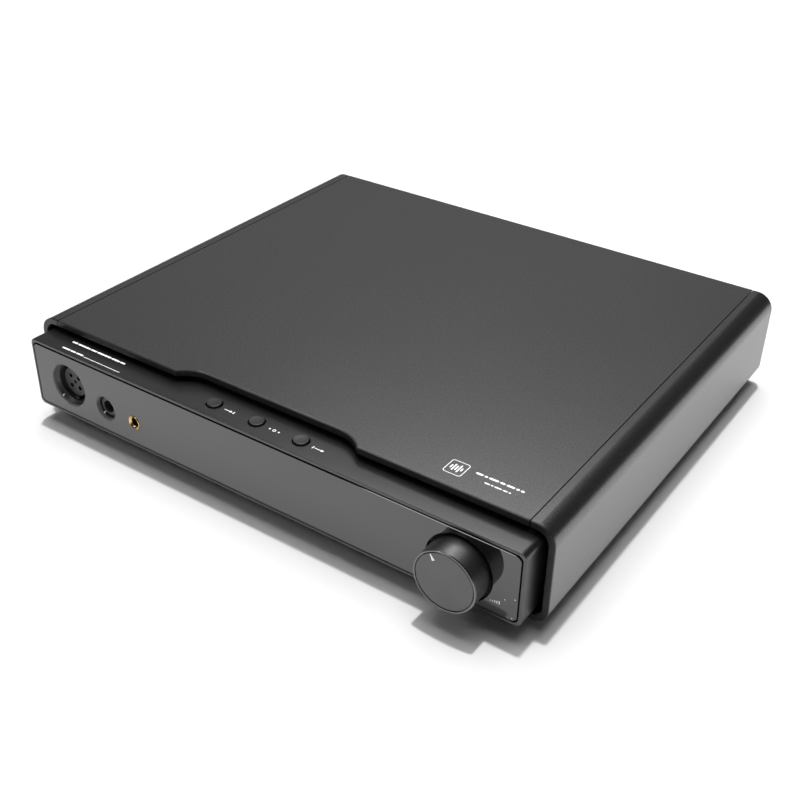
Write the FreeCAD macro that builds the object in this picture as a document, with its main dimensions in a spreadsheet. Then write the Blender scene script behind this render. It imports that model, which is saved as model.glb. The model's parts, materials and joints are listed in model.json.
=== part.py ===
"""Desktop headphone DAC and amplifier, as a parametric FreeCAD document.

Frame: +Z up, +X to the listener's right, +Y from the front to the back.  The origin lies on
the table, in the middle of the unit's whole width and whole depth.  Lengths are millimetres.
"""
import FreeCAD, Part
import math
import os

import Sketcher

Vector = FreeCAD.Vector
Rotation = FreeCAD.Rotation

doc = FreeCAD.newDocument("desktop_dac")
dims = doc.addObject("Spreadsheet::Sheet", "dims")

# Driving dimensions, one cell each.
DIMENSIONS = {
    # Case: two side extrusions, a top plate and a base plate between them
    "case_half": 145.0,
    "case_top": 52.9,
    "case_base": 4.5,
    "case_front": -111.0,
    "case_depth": 239.0,
    "wall": 3.0,
    "top_radius": 9.0,
    "base_radius": 7.0,
    "seam_x": 133.2,
    "seam_gap": 0.4,
    "edge_break": 0.35,
    "ledge_width": 8.0,
    "ledge_height": 1.8,
    "channel_side": 8.0,
    "channel_low_z": 17.0,
    "channel_high_z": 39.0,
    "inner_gap": 0.3,
    # Notch of the top plate over the buttons
    "notch_x": -1.3,
    "notch_half": 51.8,
    "notch_depth": 6.15,
    "notch_arc": 20.0,
    # Bulkhead at the back of the black groove
    "bulkhead_y": -102.0,
    "bulkhead_thickness": 2.0,
    # Fascia block, inset from the case all round
    "fascia_half": 139.6,
    "fascia_low": 9.8,
    "fascia_high": 47.2,
    "fascia_front": -123.4,
    "fascia_depth": 21.4,
    "fascia_radius": 3.0,
    "fascia_wall": 3.2,
    "fascia_web": 2.4,
    "recess_depth": 2.0,
    "recess_gap": 0.75,
    # Gloss panel
    "glass_half": 137.5,
    "glass_low": 12.0,
    "glass_high": 44.9,
    "glass_radius": 2.5,
    "glass_proud": 0.2,
    # Display behind the gloss panel
    "display_half": 50.0,
    "display_low": 18.0,
    "display_high": 40.0,
    "display_depth": 2.2,
    "display_edge": 0.4,
    # Balanced headphone socket, four contacts
    "xlr_x": -115.4,
    "xlr_z": 28.4,
    "xlr_hole": 11.4,
    "xlr_bore": 9.7,
    "xlr_shell_length": 19.0,
    "xlr_insert": 7.55,
    "xlr_insert_recess": 4.0,
    "xlr_pin_circle": 3.9,
    "xlr_pin_hole": 0.95,
    "xlr_floor": 3.0,
    "key_width": 2.4,
    "key_height": 1.4,
    "contact_wall": 0.25,
    # Headphone jack for a 6.35 mm plug
    "jack_x": -90.4,
    "jack_z": 24.6,
    "jack_hole": 6.5,
    "jack_bore": 3.25,
    "jack_ring": 4.6,
    "jack_length": 32.0,
    "jack_case_side": 15.0,
    "jack_spring": 0.5,
    # Headphone jack for a 4.4 mm plug
    "pentaconn_x": -71.1,
    "pentaconn_z": 24.1,
    "pentaconn_ring": 3.5,
    "pentaconn_bore": 2.25,
    "pentaconn_length": 21.0,
    "pentaconn_proud": 0.4,
    "pentaconn_case_side": 11.0,
    # Push buttons on the top of the fascia block
    "button_y": -114.6,
    "button_pitch": 24.9,
    "button_hole": 4.1,
    "button_hole_depth": 2.2,
    "button_radius": 3.5,
    "button_proud": 0.9,
    "button_travel": 0.6,
    "button_clearance": 0.3,
    "button_stem": 2.3,
    "button_flange": 3.6,
    "button_flange_height": 0.8,
    "button_skirt": 3.6,
    "plunger_radius": 1.6,
    "plunger_height": 2.4,
    "switch_side": 6.0,
    "switch_height": 3.4,
    "board_thickness": 1.6,
    # Volume knob, its shaft and its potentiometer
    "knob_x": 110.1,
    "knob_z": 26.6,
    "knob_radius": 14.65,
    "knob_length": 12.5,
    "knob_front": -134.4,
    "knob_hole": 15.9,
    "knob_rim": 0.95,
    "knob_chamfer": 0.45,
    "disc_depth": 1.6,
    "disc_gap": 0.12,
    "knob_cavity": 11.5,
    "knob_cavity_depth": 3.4,
    "shaft_radius": 3.0,
    "shaft_length": 19.0,
    "shaft_grip": 7.5,
    "bushing_radius": 4.5,
    "bushing_length": 5.0,
    "shaft_clearance": 0.05,
    "nut_flat": 5.5,
    "nut_height": 2.0,
    "pot_side": 17.0,
    "pot_depth": 9.5,
    "pointer_angle": -31.5,
    "pointer_inner": 9.9,
    "pointer_length": 3.2,
    "pointer_half": 0.75,
    "pointer_tip": 0.18,
    "pointer_depth": 0.6,
    "set_screw_radius": 1.5,
    "set_screw_length": 5.0,
    # Feet
    "foot_radius": 8.5,
    "foot_shoulder": 7.4,
    "foot_pocket": 3.6,
    "foot_pocket_depth": 2.4,
    "foot_x": 114.0,
    "foot_inset": 28.0,
    "foot_screw_head": 3.2,
    "foot_screw_head_height": 1.3,
    "foot_screw_radius": 1.5,
    "foot_screw_length": 6.0,
    # Base plate
    "vent_length": 26.0,
    "vent_width": 2.4,
    "vent_pitch": 6.5,
    "vent_count": 9,
    "vent_left_x": -84.0,
    "vent_right_x": -10.0,
    "vent_y": 10.0,
    "base_screw_head": 2.9,
    "base_screw_radius": 1.4,
    "base_screw_x": 129.3,
    "base_screw_pitch": 66.0,
    # Rear panel
    "rear_inset": 1.0,
    "rear_thickness": 2.5,
    "rear_screw_x": 138.0,
    "rear_screw_head": 2.8,
    "rear_screw_head_height": 1.6,
    "rear_screw_radius": 1.4,
    "rear_screw_length": 9.0,
    "hex_socket": 1.0,
    "hex_depth": 0.9,
    # Mains inlet with its fuse drawer
    "inlet_x": 108.0,
    "inlet_z": 29.0,
    "inlet_flange_half": 15.0,
    "inlet_flange_top": 12.0,
    "inlet_flange_low": 17.5,
    "inlet_flange": 2.2,
    "inlet_body_half": 13.6,
    "inlet_body_top": 10.0,
    "inlet_body_low": 15.5,
    "inlet_depth": 24.0,
    "inlet_cavity_half": 12.1,
    "inlet_cavity_z": 8.2,
    "inlet_cavity_low": -8.2,
    "inlet_cavity_depth": 17.0,
    "inlet_corner": 4.0,
    "blade_width": 4.0,
    "blade_thickness": 2.0,
    "blade_recess": 5.0,
    "blade_pitch": 7.0,
    "blade_offset": 2.0,
    "drawer_half": 10.0,
    "drawer_low": -14.6,
    "drawer_high": -9.4,
    "drawer_depth": 20.0,
    "drawer_gap": 0.1,
    "drawer_lip": 0.9,
    "fuse_radius": 1.6,
    "fuse_length": 14.0,
    # Power rocker
    "rocker_x": 74.0,
    "rocker_z": 29.0,
    "rocker_flange_x": 7.5,
    "rocker_flange_z": 10.5,
    "rocker_flange": 1.8,
    "rocker_body_x": 6.4,
    "rocker_body_z": 9.4,
    "rocker_depth": 17.0,
    "rocker_open_x": 5.0,
    "rocker_open_z": 8.0,
    "rocker_well": 9.0,
    "rocker_half_x": 4.7,
    "rocker_half_z": 7.1,
    "rocker_tilt": 9.0,
    "rocker_nose": 3.4,
    "rocker_pivot_inset": 1.6,
    "rocker_pin": 1.0,
    # Output sockets on the rear panel
    "output_high_z": 38.5,
    "output_low_z": 19.0,
    "phono_left_x": -56.0,
    "phono_digital_x": -36.0,
    "phono_radius": 4.15,
    "phono_proud": 7.4,
    "phono_bore": 1.7,
    "phono_insulator": 3.2,
    "phono_flange": 6.2,
    "phono_flange_height": 1.2,
    "phono_depth": 8.0,
    "balanced_right_x": -118.0,
    "balanced_left_x": -86.0,
    "balanced_z": 28.9,
    "balanced_flange_x": 13.0,
    "balanced_flange_z": 15.5,
    "balanced_flange": 2.0,
    "balanced_radius": 11.7,
    "balanced_bore": 9.6,
    "balanced_depth": 20.0,
    "balanced_floor": 4.0,
    "balanced_pin": 1.2,
    "balanced_pin_circle": 5.0,
    "balanced_pin_recess": 6.0,
    "balanced_screw_x": 9.5,
    "balanced_screw_z": 12.0,
    # Digital input sockets on the rear panel
    "usb_x": 22.0,
    "usb_half": 6.0,
    "usb_height": 10.8,
    "usb_depth": 16.0,
    "usb_proud": 0.6,
    "usb_open": 4.25,
    "usb_tongue_x": 2.8,
    "usb_tongue_z": 1.6,
    "usb_tongue_recess": 4.8,
    "optical_x": -8.0,
    "optical_half": 7.0,
    "optical_open": 4.9,
    "optical_open_z": 4.2,
    "optical_depth": 15.0,
    "optical_proud": 1.2,
    "optical_well": 11.0,
    "shutter_thickness": 0.9,
    "shutter_inset": 0.5,
    "shutter_pin": 0.6,
    # Main circuit board and what it carries
    "board_z": 13.0,
    "board_left": -133.5,
    "board_right": 44.0,
    "board_front": -92.0,
    "board_back": 118.0,
    "standoff_radius": 3.0,
    "standoff_inset": 8.0,
    "capacitor_radius": 9.0,
    "capacitor_height": 30.0,
    "capacitor_pitch": 20.0,
    "capacitor_x": -4.0,
    "capacitor_y": -44.0,
    "capacitor_bead": 0.5,
    "heatsink_length": 46.0,
    "heatsink_height": 24.0,
    "heatsink_fin": 1.6,
    "heatsink_pitch": 4.2,
    "heatsink_fins": 5,
    "heatsink_x": -116.0,
    "heatsink_y": -50.0,
    "shield_length": 62.0,
    "shield_width": 44.0,
    "shield_height": 14.0,
    "shield_sheet": 0.6,
    "shield_x": -84.0,
    "shield_y": 18.0,
    "relay_length": 20.0,
    "relay_width": 10.0,
    "relay_height": 11.0,
    "relay_x": -118.0,
    "relay_y": 60.0,
    "relay_pitch": 15.0,
    # Toroidal mains transformer
    "toroid_x": 86.0,
    "toroid_y": 30.0,
    "toroid_outer": 38.0,
    "toroid_inner": 13.0,
    "toroid_height": 32.0,
    "toroid_round": 7.0,
    "toroid_plate": 1.5,
    "toroid_washer": 22.0,
    "toroid_bolt": 3.0,
    # Ribbon cable between the front boards and the main board
    "ribbon_width": 14.0,
    "ribbon_thickness": 0.5,
    "ribbon_x": -17.0,
    "ribbon_lap": 4.0,
    # Front socket board
    "socket_board_low": 15.0,
    "socket_board_high": 43.6,
}

for row, (alias, number) in enumerate(DIMENSIONS.items(), start=1):
    dims.set(f"A{row}", alias)
    dims.set(f"B{row}", str(number))
    dims.setAlias(f"B{row}", alias)
doc.recompute()


class Names(dict):
    """Look up a name in an expression as a cell of the sheet."""

    def __missing__(self, alias):
        return f"dims.{alias}"


def size(text):
    """Turn "{case_half} - {wall}" into an expression that reads the sheet."""
    return "(" + text.format_map(Names()) + ")"


def value(expression):
    """Number that an expression has at present."""
    return float(dims.evalExpression(expression))


# Derived places that several pieces share
CASE_BACK = size("{case_front} + {case_depth}")
ROOF = size("{case_top} - {wall}")
FLOOR = size("{case_base} + {wall}")
BULKHEAD_BACK = size("{bulkhead_y} + {bulkhead_thickness}")
REAR_FACE = size("{case_front} + {case_depth} - {rear_inset}")
REAR_INNER = size("{case_front} + {case_depth} - {rear_inset} - {rear_thickness}")
FASCIA_BACK = size("{fascia_front} + {fascia_depth}")
WEB_FRONT = size("{fascia_front} + {recess_depth}")
WEB_BACK = size("{fascia_front} + {recess_depth} + {fascia_web}")
GLASS_FRONT = size("{fascia_front} - {glass_proud}")
BOARD_TOP = size("{board_z} + {board_thickness}")
ZERO = "0"

SUB_PARTS = []


def name_part(feature, label):
    """Record a finished feature as a sub-part with its own label."""
    feature.Label = label
    SUB_PARTS.append(feature)
    return feature


def bind(feature, **expressions):
    """Bind properties of a feature to expressions."""
    for name, expression in expressions.items():
        feature.setExpression(name, expression)


def place(feature, x, y, z):
    """Bind the position of a feature to three expressions."""
    for axis, expression in zip("xyz", (x, y, z)):
        feature.setExpression(f".Placement.Base.{axis}", expression)
    return feature


# ---- Primitives and booleans ----

ALONG = {
    "X": Rotation(Vector(0, 1, 0), 90),
    "Y": Rotation(Vector(1, 0, 0), -90),
    "Z": Rotation(),
}


def block(name, x, y, z, length, width, height):
    """Box from its low corner, with its sizes along X, Y and Z."""
    solid = doc.addObject("Part::Box", name)
    bind(solid, Length=length, Width=width, Height=height)
    return place(solid, x, y, z)


def centred_block(name, x, y, z, half_x, width, half_z):
    """Box around an axis along Y that starts at y."""
    low_x = f"{x} - ({half_x})"
    low_z = f"{z} - ({half_z})"
    return block(name, low_x, y, low_z, f"2 * ({half_x})", width, f"2 * ({half_z})")


def rod(name, axis, x, y, z, radius, length):
    """Cylinder from the centre of its first end, along a row axis."""
    solid = doc.addObject("Part::Cylinder", name)
    solid.Placement = FreeCAD.Placement(Vector(), ALONG[axis])
    bind(solid, Radius=radius, Height=length)
    return place(solid, x, y, z)


def cone(name, axis, x, y, z, radius, end_radius, length):
    """Cone from the centre of its first end, along a row axis."""
    solid = doc.addObject("Part::Cone", name)
    solid.Placement = FreeCAD.Placement(Vector(), ALONG[axis])
    bind(solid, Radius1=radius, Radius2=end_radius, Height=length)
    return place(solid, x, y, z)


def hexagon(name, axis, x, y, z, corner_radius, length):
    """Six-sided prism from the centre of its first end, along a row axis."""
    solid = doc.addObject("Part::Prism", name)
    solid.Polygon = 6
    solid.Placement = FreeCAD.Placement(Vector(), ALONG[axis])
    bind(solid, Circumradius=corner_radius, Height=length)
    return place(solid, x, y, z)


def join(name, *solids):
    """One solid from several that meet."""
    fused = doc.addObject("Part::MultiFuse", name)
    fused.Shapes = list(solids)
    fused.Refine = True
    return fused


def remove(name, solid, *tools):
    """A solid less one or more tools."""
    cut = doc.addObject("Part::Cut", name)
    cut.Base = solid
    cut.Tool = tools[0] if len(tools) == 1 else join(name + "_tools", *tools)
    return cut


def cluster(name, *solids):
    """Identical pieces that share one node, as separate solids."""
    compound = doc.addObject("Part::Compound", name)
    compound.Links = list(solids)
    return compound


# ---- Bodies from sketches ----

# Turn of each origin plane: the low side of a pad and whether it must be reversed
PLANES = {"XY": ("XY_Plane", 1, False), "XZ": ("XZ_Plane", -1, True), "YZ": ("YZ_Plane", 1, False)}


def new_body(name):
    """Empty body."""
    return doc.addObject("PartDesign::Body", name)


def new_sketch(body, name, plane, offset=ZERO):
    """Sketch on one of the body's own origin planes, moved along the plane's row axis."""
    role, sign, _ = PLANES[plane]
    sketch = body.newObject("Sketcher::SketchObject", name)
    support = [item for item in body.Origin.OriginFeatures if item.Role == role][0]
    sketch.AttachmentSupport = [(support, "")]
    sketch.MapMode = "FlatFace"
    sketch.setExpression(".AttachmentOffset.Base.z", f"{sign} * ({offset})")
    return sketch


def fix_point(sketch, geometry, end, x, y):
    """Tie an end of a line or the centre of a circle to the sketch's origin."""
    for axis, expression in (("X", x), ("Y", y)):
        label = f"{axis}_{geometry}_{end}"
        distance = value(expression)
        index = sketch.addConstraint(
            Sketcher.Constraint("Distance" + axis, -1, 1, geometry, end, distance)
        )
        sketch.renameConstraint(index, label)
        sketch.setExpression(f"Constraints.{label}", expression)


def add_polygon(sketch, corners):
    """Closed run of lines through corners that are given as pairs of expressions."""
    first = sketch.GeometryCount
    points = [Vector(value(x), value(y), 0) for x, y in corners]
    for start, end in zip(points, points[1:] + points[:1]):
        sketch.addGeometry(Part.LineSegment(start, end), False)
    count = len(corners)
    for index in range(count):
        following = first + (index + 1) % count
        sketch.addConstraint(Sketcher.Constraint("Coincident", first + index, 2, following, 1))
    for index, (x, y) in enumerate(corners):
        fix_point(sketch, first + index, 1, x, y)


def add_rectangle(sketch, left, right, low, high):
    """Rectangle from the expressions of its four sides."""
    add_polygon(sketch, [(left, low), (right, low), (right, high), (left, high)])


def add_circle(sketch, x, y, radius):
    """Circle with its centre and radius as expressions."""
    centre = Vector(value(x), value(y), 0)
    circle = Part.Circle(centre, Vector(0, 0, 1), value(radius))
    index = sketch.addGeometry(circle, False)
    fix_point(sketch, index, 3, x, y)
    constraint = sketch.addConstraint(Sketcher.Constraint("Radius", index, value(radius)))
    sketch.renameConstraint(constraint, f"radius_{index}")
    sketch.setExpression(f"Constraints.radius_{index}", radius)


def add_pad(body, sketch, name, length, plane):
    """Pad a sketch towards the positive side of its plane's row axis."""
    pad = body.newObject("PartDesign::Pad", name)
    pad.Profile = sketch
    pad.Reversed = PLANES[plane][2]
    bind(pad, Length=length)
    doc.recompute()
    return pad


def add_pocket(body, sketch, name, length, plane):
    """Cut a sketch towards the positive side of its plane's row axis."""
    before = body.Shape.Volume
    pocket = body.newObject("PartDesign::Pocket", name)
    pocket.Profile = sketch
    pocket.Reversed = not PLANES[plane][2]
    bind(pocket, Length=length)
    doc.recompute()
    if body.Shape.Volume > before - 0.01:
        raise RuntimeError(f"pocket {name} removes nothing")
    return pocket


def add_revolution(body, sketch, name):
    """Turn a half profile around the sketch's vertical axis."""
    turned = body.newObject("PartDesign::Revolution", name)
    turned.Profile = sketch
    turned.ReferenceAxis = (sketch, ["V_Axis"])
    turned.Angle = 360
    doc.recompute()
    return turned


def edges_along(body, direction, keep=lambda edge: True):
    """Names of the straight edges of a body along a direction that pass a test."""
    names = []
    for index, edge in enumerate(body.Shape.Edges, start=1):
        if not isinstance(edge.Curve, Part.Line):
            continue
        if abs(edge.tangentAt(edge.FirstParameter).dot(direction)) > 0.999 and keep(edge):
            names.append(f"Edge{index}")
    return names


def edges_near(body, test):
    """Names of the edges of a body whose middle point passes a test."""
    names = []
    for index, edge in enumerate(body.Shape.Edges, start=1):
        middle = edge.valueAt((edge.FirstParameter + edge.LastParameter) / 2)
        if test(middle):
            names.append(f"Edge{index}")
    return names


def add_fillet(body, name, names, radius):
    """Round edges of the body's latest feature."""
    base = body.Tip
    fillet = body.newObject("PartDesign::Fillet", name)
    fillet.Base = (base, names)
    bind(fillet, Radius=radius)
    doc.recompute()
    return fillet


def add_chamfer(body, name, names, width):
    """Bevel edges of the body's latest feature."""
    base = body.Tip
    chamfer = body.newObject("PartDesign::Chamfer", name)
    chamfer.Base = (base, names)
    bind(chamfer, Size=width)
    doc.recompute()
    return chamfer


LENGTHWISE = Vector(0, 1, 0)
UPRIGHT = Vector(0, 0, 1)


def at(number, expression, slack=0.01):
    """Whether a coordinate sits at the place that an expression gives."""
    return abs(number - value(expression)) < slack


# ---- Case ----

def side_panel(label, side):
    """Side extrusion: wall, rounded corners, ledges for the plates and screw channels."""
    body = new_body(label)

    def across(text):
        return f"{side} * " + size(text)

    edge = across("{seam_x} + {seam_gap} / 2")
    outer = across("{case_half}")
    inner = across("{case_half} - {wall}")
    top = size("{case_top}")
    base = size("{case_base}")
    profile = new_sketch(body, "profile", "XZ", size("{case_front}"))
    add_polygon(profile, [
        (edge, base), (outer, base), (outer, top), (edge, top),
        (edge, ROOF), (inner, ROOF), (inner, FLOOR), (edge, FLOOR),
    ])
    add_pad(body, profile, "wall", size("{case_depth}"), "XZ")
    rounds = [
        ("top_corner", outer, top, size("{top_radius}")),
        ("base_corner", outer, base, size("{base_radius}")),
        ("top_inside", inner, ROOF, size("{top_radius} - {wall}")),
        ("base_inside", inner, FLOOR, size("{base_radius} - {wall}")),
    ]
    for name, x, z, radius in rounds:
        def corner(edge, x=x, z=z):
            point = edge.Vertexes[0].Point
            return at(point.x, x) and at(point.z, z)
        add_fillet(body, name, edges_along(body, LENGTHWISE, corner), radius)

    ledge_edge = across("{seam_x} + {seam_gap} / 2 - {ledge_width}")
    ledge_root = across("{seam_x} + {seam_gap} / 2 + {ledge_height}")
    ledges = new_sketch(body, "ledges", "XZ", BULKHEAD_BACK)
    under_roof = size("{case_top} - {wall} - {ledge_height}")
    over_floor = size("{case_base} + {wall} + {ledge_height}")
    add_rectangle(ledges, ledge_edge, ledge_root, under_roof, ROOF)
    add_rectangle(ledges, ledge_edge, ledge_root, FLOOR, over_floor)
    run = f"{REAR_INNER} - {BULKHEAD_BACK}"
    for height in ("channel_low_z", "channel_high_z"):
        channel_edge = across("{case_half} - {wall} - {channel_side}")
        low = size("{" + height + "} - {channel_side} / 2")
        high = size("{" + height + "} + {channel_side} / 2")
        add_rectangle(ledges, channel_edge, inner, low, high)
    add_pad(body, ledges, "ledges_and_channels", run, "XZ")

    screw_y = f"{REAR_INNER} - " + size("{rear_screw_length}")
    holes = new_sketch(body, "screw_holes", "XZ", screw_y)
    for height in ("channel_low_z", "channel_high_z"):
        add_circle(holes, across("{rear_screw_x}"), size("{" + height + "}"), size("{rear_screw_radius}"))
    add_pocket(body, holes, "channel_holes", size("{rear_screw_length} + 1"), "XZ")

    ledge_x = across("{base_screw_x}")
    base_holes = new_sketch(body, "base_screw_holes", "XY", FLOOR)
    hole_radius = size("{base_screw_radius}")
    for step in (-1, 0, 1):
        add_circle(base_holes, ledge_x, f"{step} * " + size("{base_screw_pitch}"), hole_radius)
    add_pocket(body, base_holes, "base_holes", size("{ledge_height} + 0.1"), "XY")

    def rim(middle):
        return at(middle.y, size("{case_front}")) or at(middle.y, CASE_BACK)
    add_chamfer(body, "rim_break", edges_near(body, rim), size("{edge_break}"))
    return name_part(body, label)


def top_plate():
    """Top plate with the notch over the buttons: a straight run between two arcs."""
    body = new_body("top_plate")
    front = size("{case_front}")
    half = size("{seam_x} - {seam_gap} / 2")
    run = size("sqrt({notch_arc}^2 - ({notch_arc} - {notch_depth})^2)")
    back = size("{case_front} + {notch_depth}")
    centre_y = f"{back} - " + size("{notch_arc}")
    outline = new_sketch(body, "outline", "XY", ROOF)
    ends = {}
    for side in (-1, 1):
        mouth = size("{notch_x}") + f" + {side} * " + size("{notch_half}")
        flat = mouth + f" - {side} * {run}"
        ends[side] = (mouth, flat)
    corners = [
        (ends[-1][0], front), (f"-1 * {half}", front), (f"-1 * {half}", CASE_BACK),
        (half, CASE_BACK), (half, front), (ends[1][0], front),
    ]
    points = [Vector(value(x), value(y), 0) for x, y in corners]
    for start, end in zip(points, points[1:]):
        outline.addGeometry(Part.LineSegment(start, end), False)
    radius = value(size("{notch_arc}"))
    centres = {side: Vector(value(ends[side][1]), value(centre_y), 0) for side in (-1, 1)}
    flat_ends = {side: Vector(value(ends[side][1]), value(back), 0) for side in (-1, 1)}
    slope = math.acos((radius - value(size("{notch_depth}"))) / radius)
    right_circle = Part.Circle(centres[1], Vector(0, 0, 1), radius)
    left_circle = Part.Circle(centres[-1], Vector(0, 0, 1), radius)
    right_arc = outline.addGeometry(
        Part.ArcOfCircle(right_circle, math.pi / 2 - slope, math.pi / 2), False)
    flat_line = outline.addGeometry(Part.LineSegment(flat_ends[1], flat_ends[-1]), False)
    left_arc = outline.addGeometry(
        Part.ArcOfCircle(left_circle, math.pi / 2, math.pi / 2 + slope), False)
    for index in range(len(corners) - 2):
        outline.addConstraint(Sketcher.Constraint("Coincident", index, 2, index + 1, 1))
    for index, (x, y) in enumerate(corners[:-1]):
        fix_point(outline, index, 1, x, y)
    fix_point(outline, len(corners) - 2, 2, *corners[-1])
    outline.addConstraint(Sketcher.Constraint("Coincident", len(corners) - 2, 2, right_arc, 1))
    outline.addConstraint(Sketcher.Constraint("Tangent", right_arc, 2, flat_line, 1))
    outline.addConstraint(Sketcher.Constraint("Tangent", flat_line, 2, left_arc, 1))
    outline.addConstraint(Sketcher.Constraint("Coincident", left_arc, 2, 0, 1))
    fix_point(outline, right_arc, 3, ends[1][1], centre_y)
    fix_point(outline, left_arc, 3, ends[-1][1], centre_y)
    add_pad(body, outline, "plate", size("{wall}"), "XY")

    def top_rim(middle):
        return at(middle.z, size("{case_top}"))
    add_chamfer(body, "top_break", edges_near(body, top_rim), size("{edge_break} / 2"))
    return name_part(body, "top_plate")


def base_plate():
    """Base plate with ventilation slots under the regulators and holes for its screws."""
    body = new_body("base_plate")
    half = size("{seam_x} - {seam_gap} / 2")
    outline = new_sketch(body, "outline", "XY", size("{case_base}"))
    add_rectangle(outline, f"-1 * {half}", half, size("{case_front}"), CASE_BACK)
    add_pad(body, outline, "plate", size("{wall}"), "XY")
    vents = new_sketch(body, "vents", "XY", size("{case_base}"))
    count = int(value(size("{vent_count}")))
    for middle in (size("{vent_left_x}"), size("{vent_right_x}")):
        for step in range(count):
            row = size("{vent_y}") + f" + ({step} - ({count} - 1) / 2) * " + size("{vent_pitch}")
            add_rectangle(
                vents,
                middle + " - " + size("{vent_length} / 2"),
                middle + " + " + size("{vent_length} / 2"),
                row + " - " + size("{vent_width} / 2"),
                row + " + " + size("{vent_width} / 2"),
            )
    add_pocket(body, vents, "vent_slots", size("{wall}"), "XY")
    holes = new_sketch(body, "screw_holes", "XY", size("{case_base}"))
    for side in (-1, 1):
        for step in (-1, 0, 1):
            add_circle(
                holes, f"{side} * " + size("{base_screw_x}"),
                f"{step} * " + size("{base_screw_pitch}"), size("{base_screw_head}"),
            )
    for x, y in foot_places():
        add_circle(holes, x, y, size("{foot_screw_radius}"))
    add_circle(holes, size("{toroid_x}"), size("{toroid_y}"), size("{toroid_bolt}"))
    add_pocket(body, holes, "holes", size("{wall}"), "XY")
    return name_part(body, "base_plate")


def foot_places():
    """Centres of the four feet as pairs of expressions, front left first."""
    front = size("{case_front} + {foot_inset}")
    back = f"{CASE_BACK} - " + size("{foot_inset}")
    left = "-1 * " + size("{foot_x}")
    right = size("{foot_x}")
    return [(left, front), (right, front), (left, back), (right, back)]


def foot(label, x, y):
    """Turned rubber foot with a pocket that hides its screw."""
    body = new_body(label)
    place(body, x, y, ZERO)
    profile = new_sketch(body, "profile", "XZ")
    add_polygon(profile, [
        (size("{foot_pocket}"), ZERO), (size("{foot_shoulder}"), ZERO),
        (size("{foot_radius}"), size("{foot_radius} - {foot_shoulder}")),
        (size("{foot_radius}"), size("{case_base}")),
        (size("{foot_screw_radius}"), size("{case_base}")),
        (size("{foot_screw_radius}"), size("{foot_pocket_depth}")),
        (size("{foot_pocket}"), size("{foot_pocket_depth}")),
    ])
    add_revolution(body, profile, "turned")
    return name_part(body, label)


def feet_and_screws():
    """Four feet and the pan-head screws that hold them."""
    labels = ("foot_front_left", "foot_front_right", "foot_back_left", "foot_back_right")
    screws = []
    for label, (x, y) in zip(labels, foot_places()):
        foot(label, x, y)
        head_z = size("{foot_pocket_depth} - {foot_screw_head_height}")
        head = rod("head", "Z", x, y, head_z, size("{foot_screw_head}"), size("{foot_screw_head_height}"))
        shank = rod(
            "shank", "Z", x, y, size("{foot_pocket_depth}"),
            size("{foot_screw_radius}"), size("{foot_screw_length}"),
        )
        socket = hexagon("socket", "Z", x, y, head_z, size("{hex_socket}"), size("{hex_depth}"))
        screws.append(remove("foot_screw", join("screw", head, shank), socket))
    name_part(cluster("foot_screws", *screws), "foot_screws")


def base_screws():
    """Countersunk screws that hold the base plate to the side ledges."""
    screws = []
    for side in (-1, 1):
        for step in (-1, 0, 1):
            x = f"{side} * " + size("{base_screw_x}")
            y = f"{step} * " + size("{base_screw_pitch}")
            head = rod("head", "Z", x, y, size("{case_base}"), size("{base_screw_head}"), size("{wall}"))
            shank = rod("shank", "Z", x, y, FLOOR, size("{base_screw_radius}"), size("{ledge_height}"))
            socket = hexagon(
                "socket", "Z", x, y, size("{case_base}"), size("{hex_socket}"), size("{hex_depth}"))
            screws.append(remove("base_screw", join("screw", head, shank), socket))
    name_part(cluster("base_screws", *screws), "base_screws")


def bulkhead():
    """Black plate behind the groove, with openings for the front wiring and the controls."""
    low = size("{case_base} + {wall} + {ledge_height} + {inner_gap}")
    high = size("{case_top} - {wall} - {inner_gap}")
    half = size("{case_half} - {wall} - {top_radius} + {wall} - {inner_gap}")
    body = new_body("front_bulkhead")
    outline = new_sketch(body, "outline", "XZ", size("{bulkhead_y}"))
    add_rectangle(outline, f"-1 * {half}", half, FLOOR, size("{case_top} - {wall}"))
    wing = size("{case_half} - {wall}")
    wing_low = size("{case_base} + {base_radius}")
    wing_high = size("{case_top} - {top_radius}")
    add_pad(body, outline, "plate", size("{bulkhead_thickness}"), "XZ")
    wings = new_sketch(body, "wings", "XZ", size("{bulkhead_y}"))
    add_rectangle(wings, f"-1 * {wing}", wing, wing_low, wing_high)
    add_pad(body, wings, "side_wings", size("{bulkhead_thickness}"), "XZ")
    openings = new_sketch(body, "openings", "XZ", size("{bulkhead_y}"))
    add_rectangle(
        openings, size("{jack_x} - {jack_case_side}"), size("{pentaconn_x} + {jack_case_side}"), low + " + 6",
        high + " - 8",
    )
    add_rectangle(
        openings, size("{ribbon_x} - {ribbon_width} / 2 - 1"), size("{ribbon_x} + {ribbon_width} / 2 + 1"),
        low + " + 6", high + " - 8",
    )
    add_pocket(body, openings, "wiring_openings", size("{bulkhead_thickness}"), "XZ")
    return name_part(body, "front_bulkhead")


# ---- Fascia ----

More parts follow.
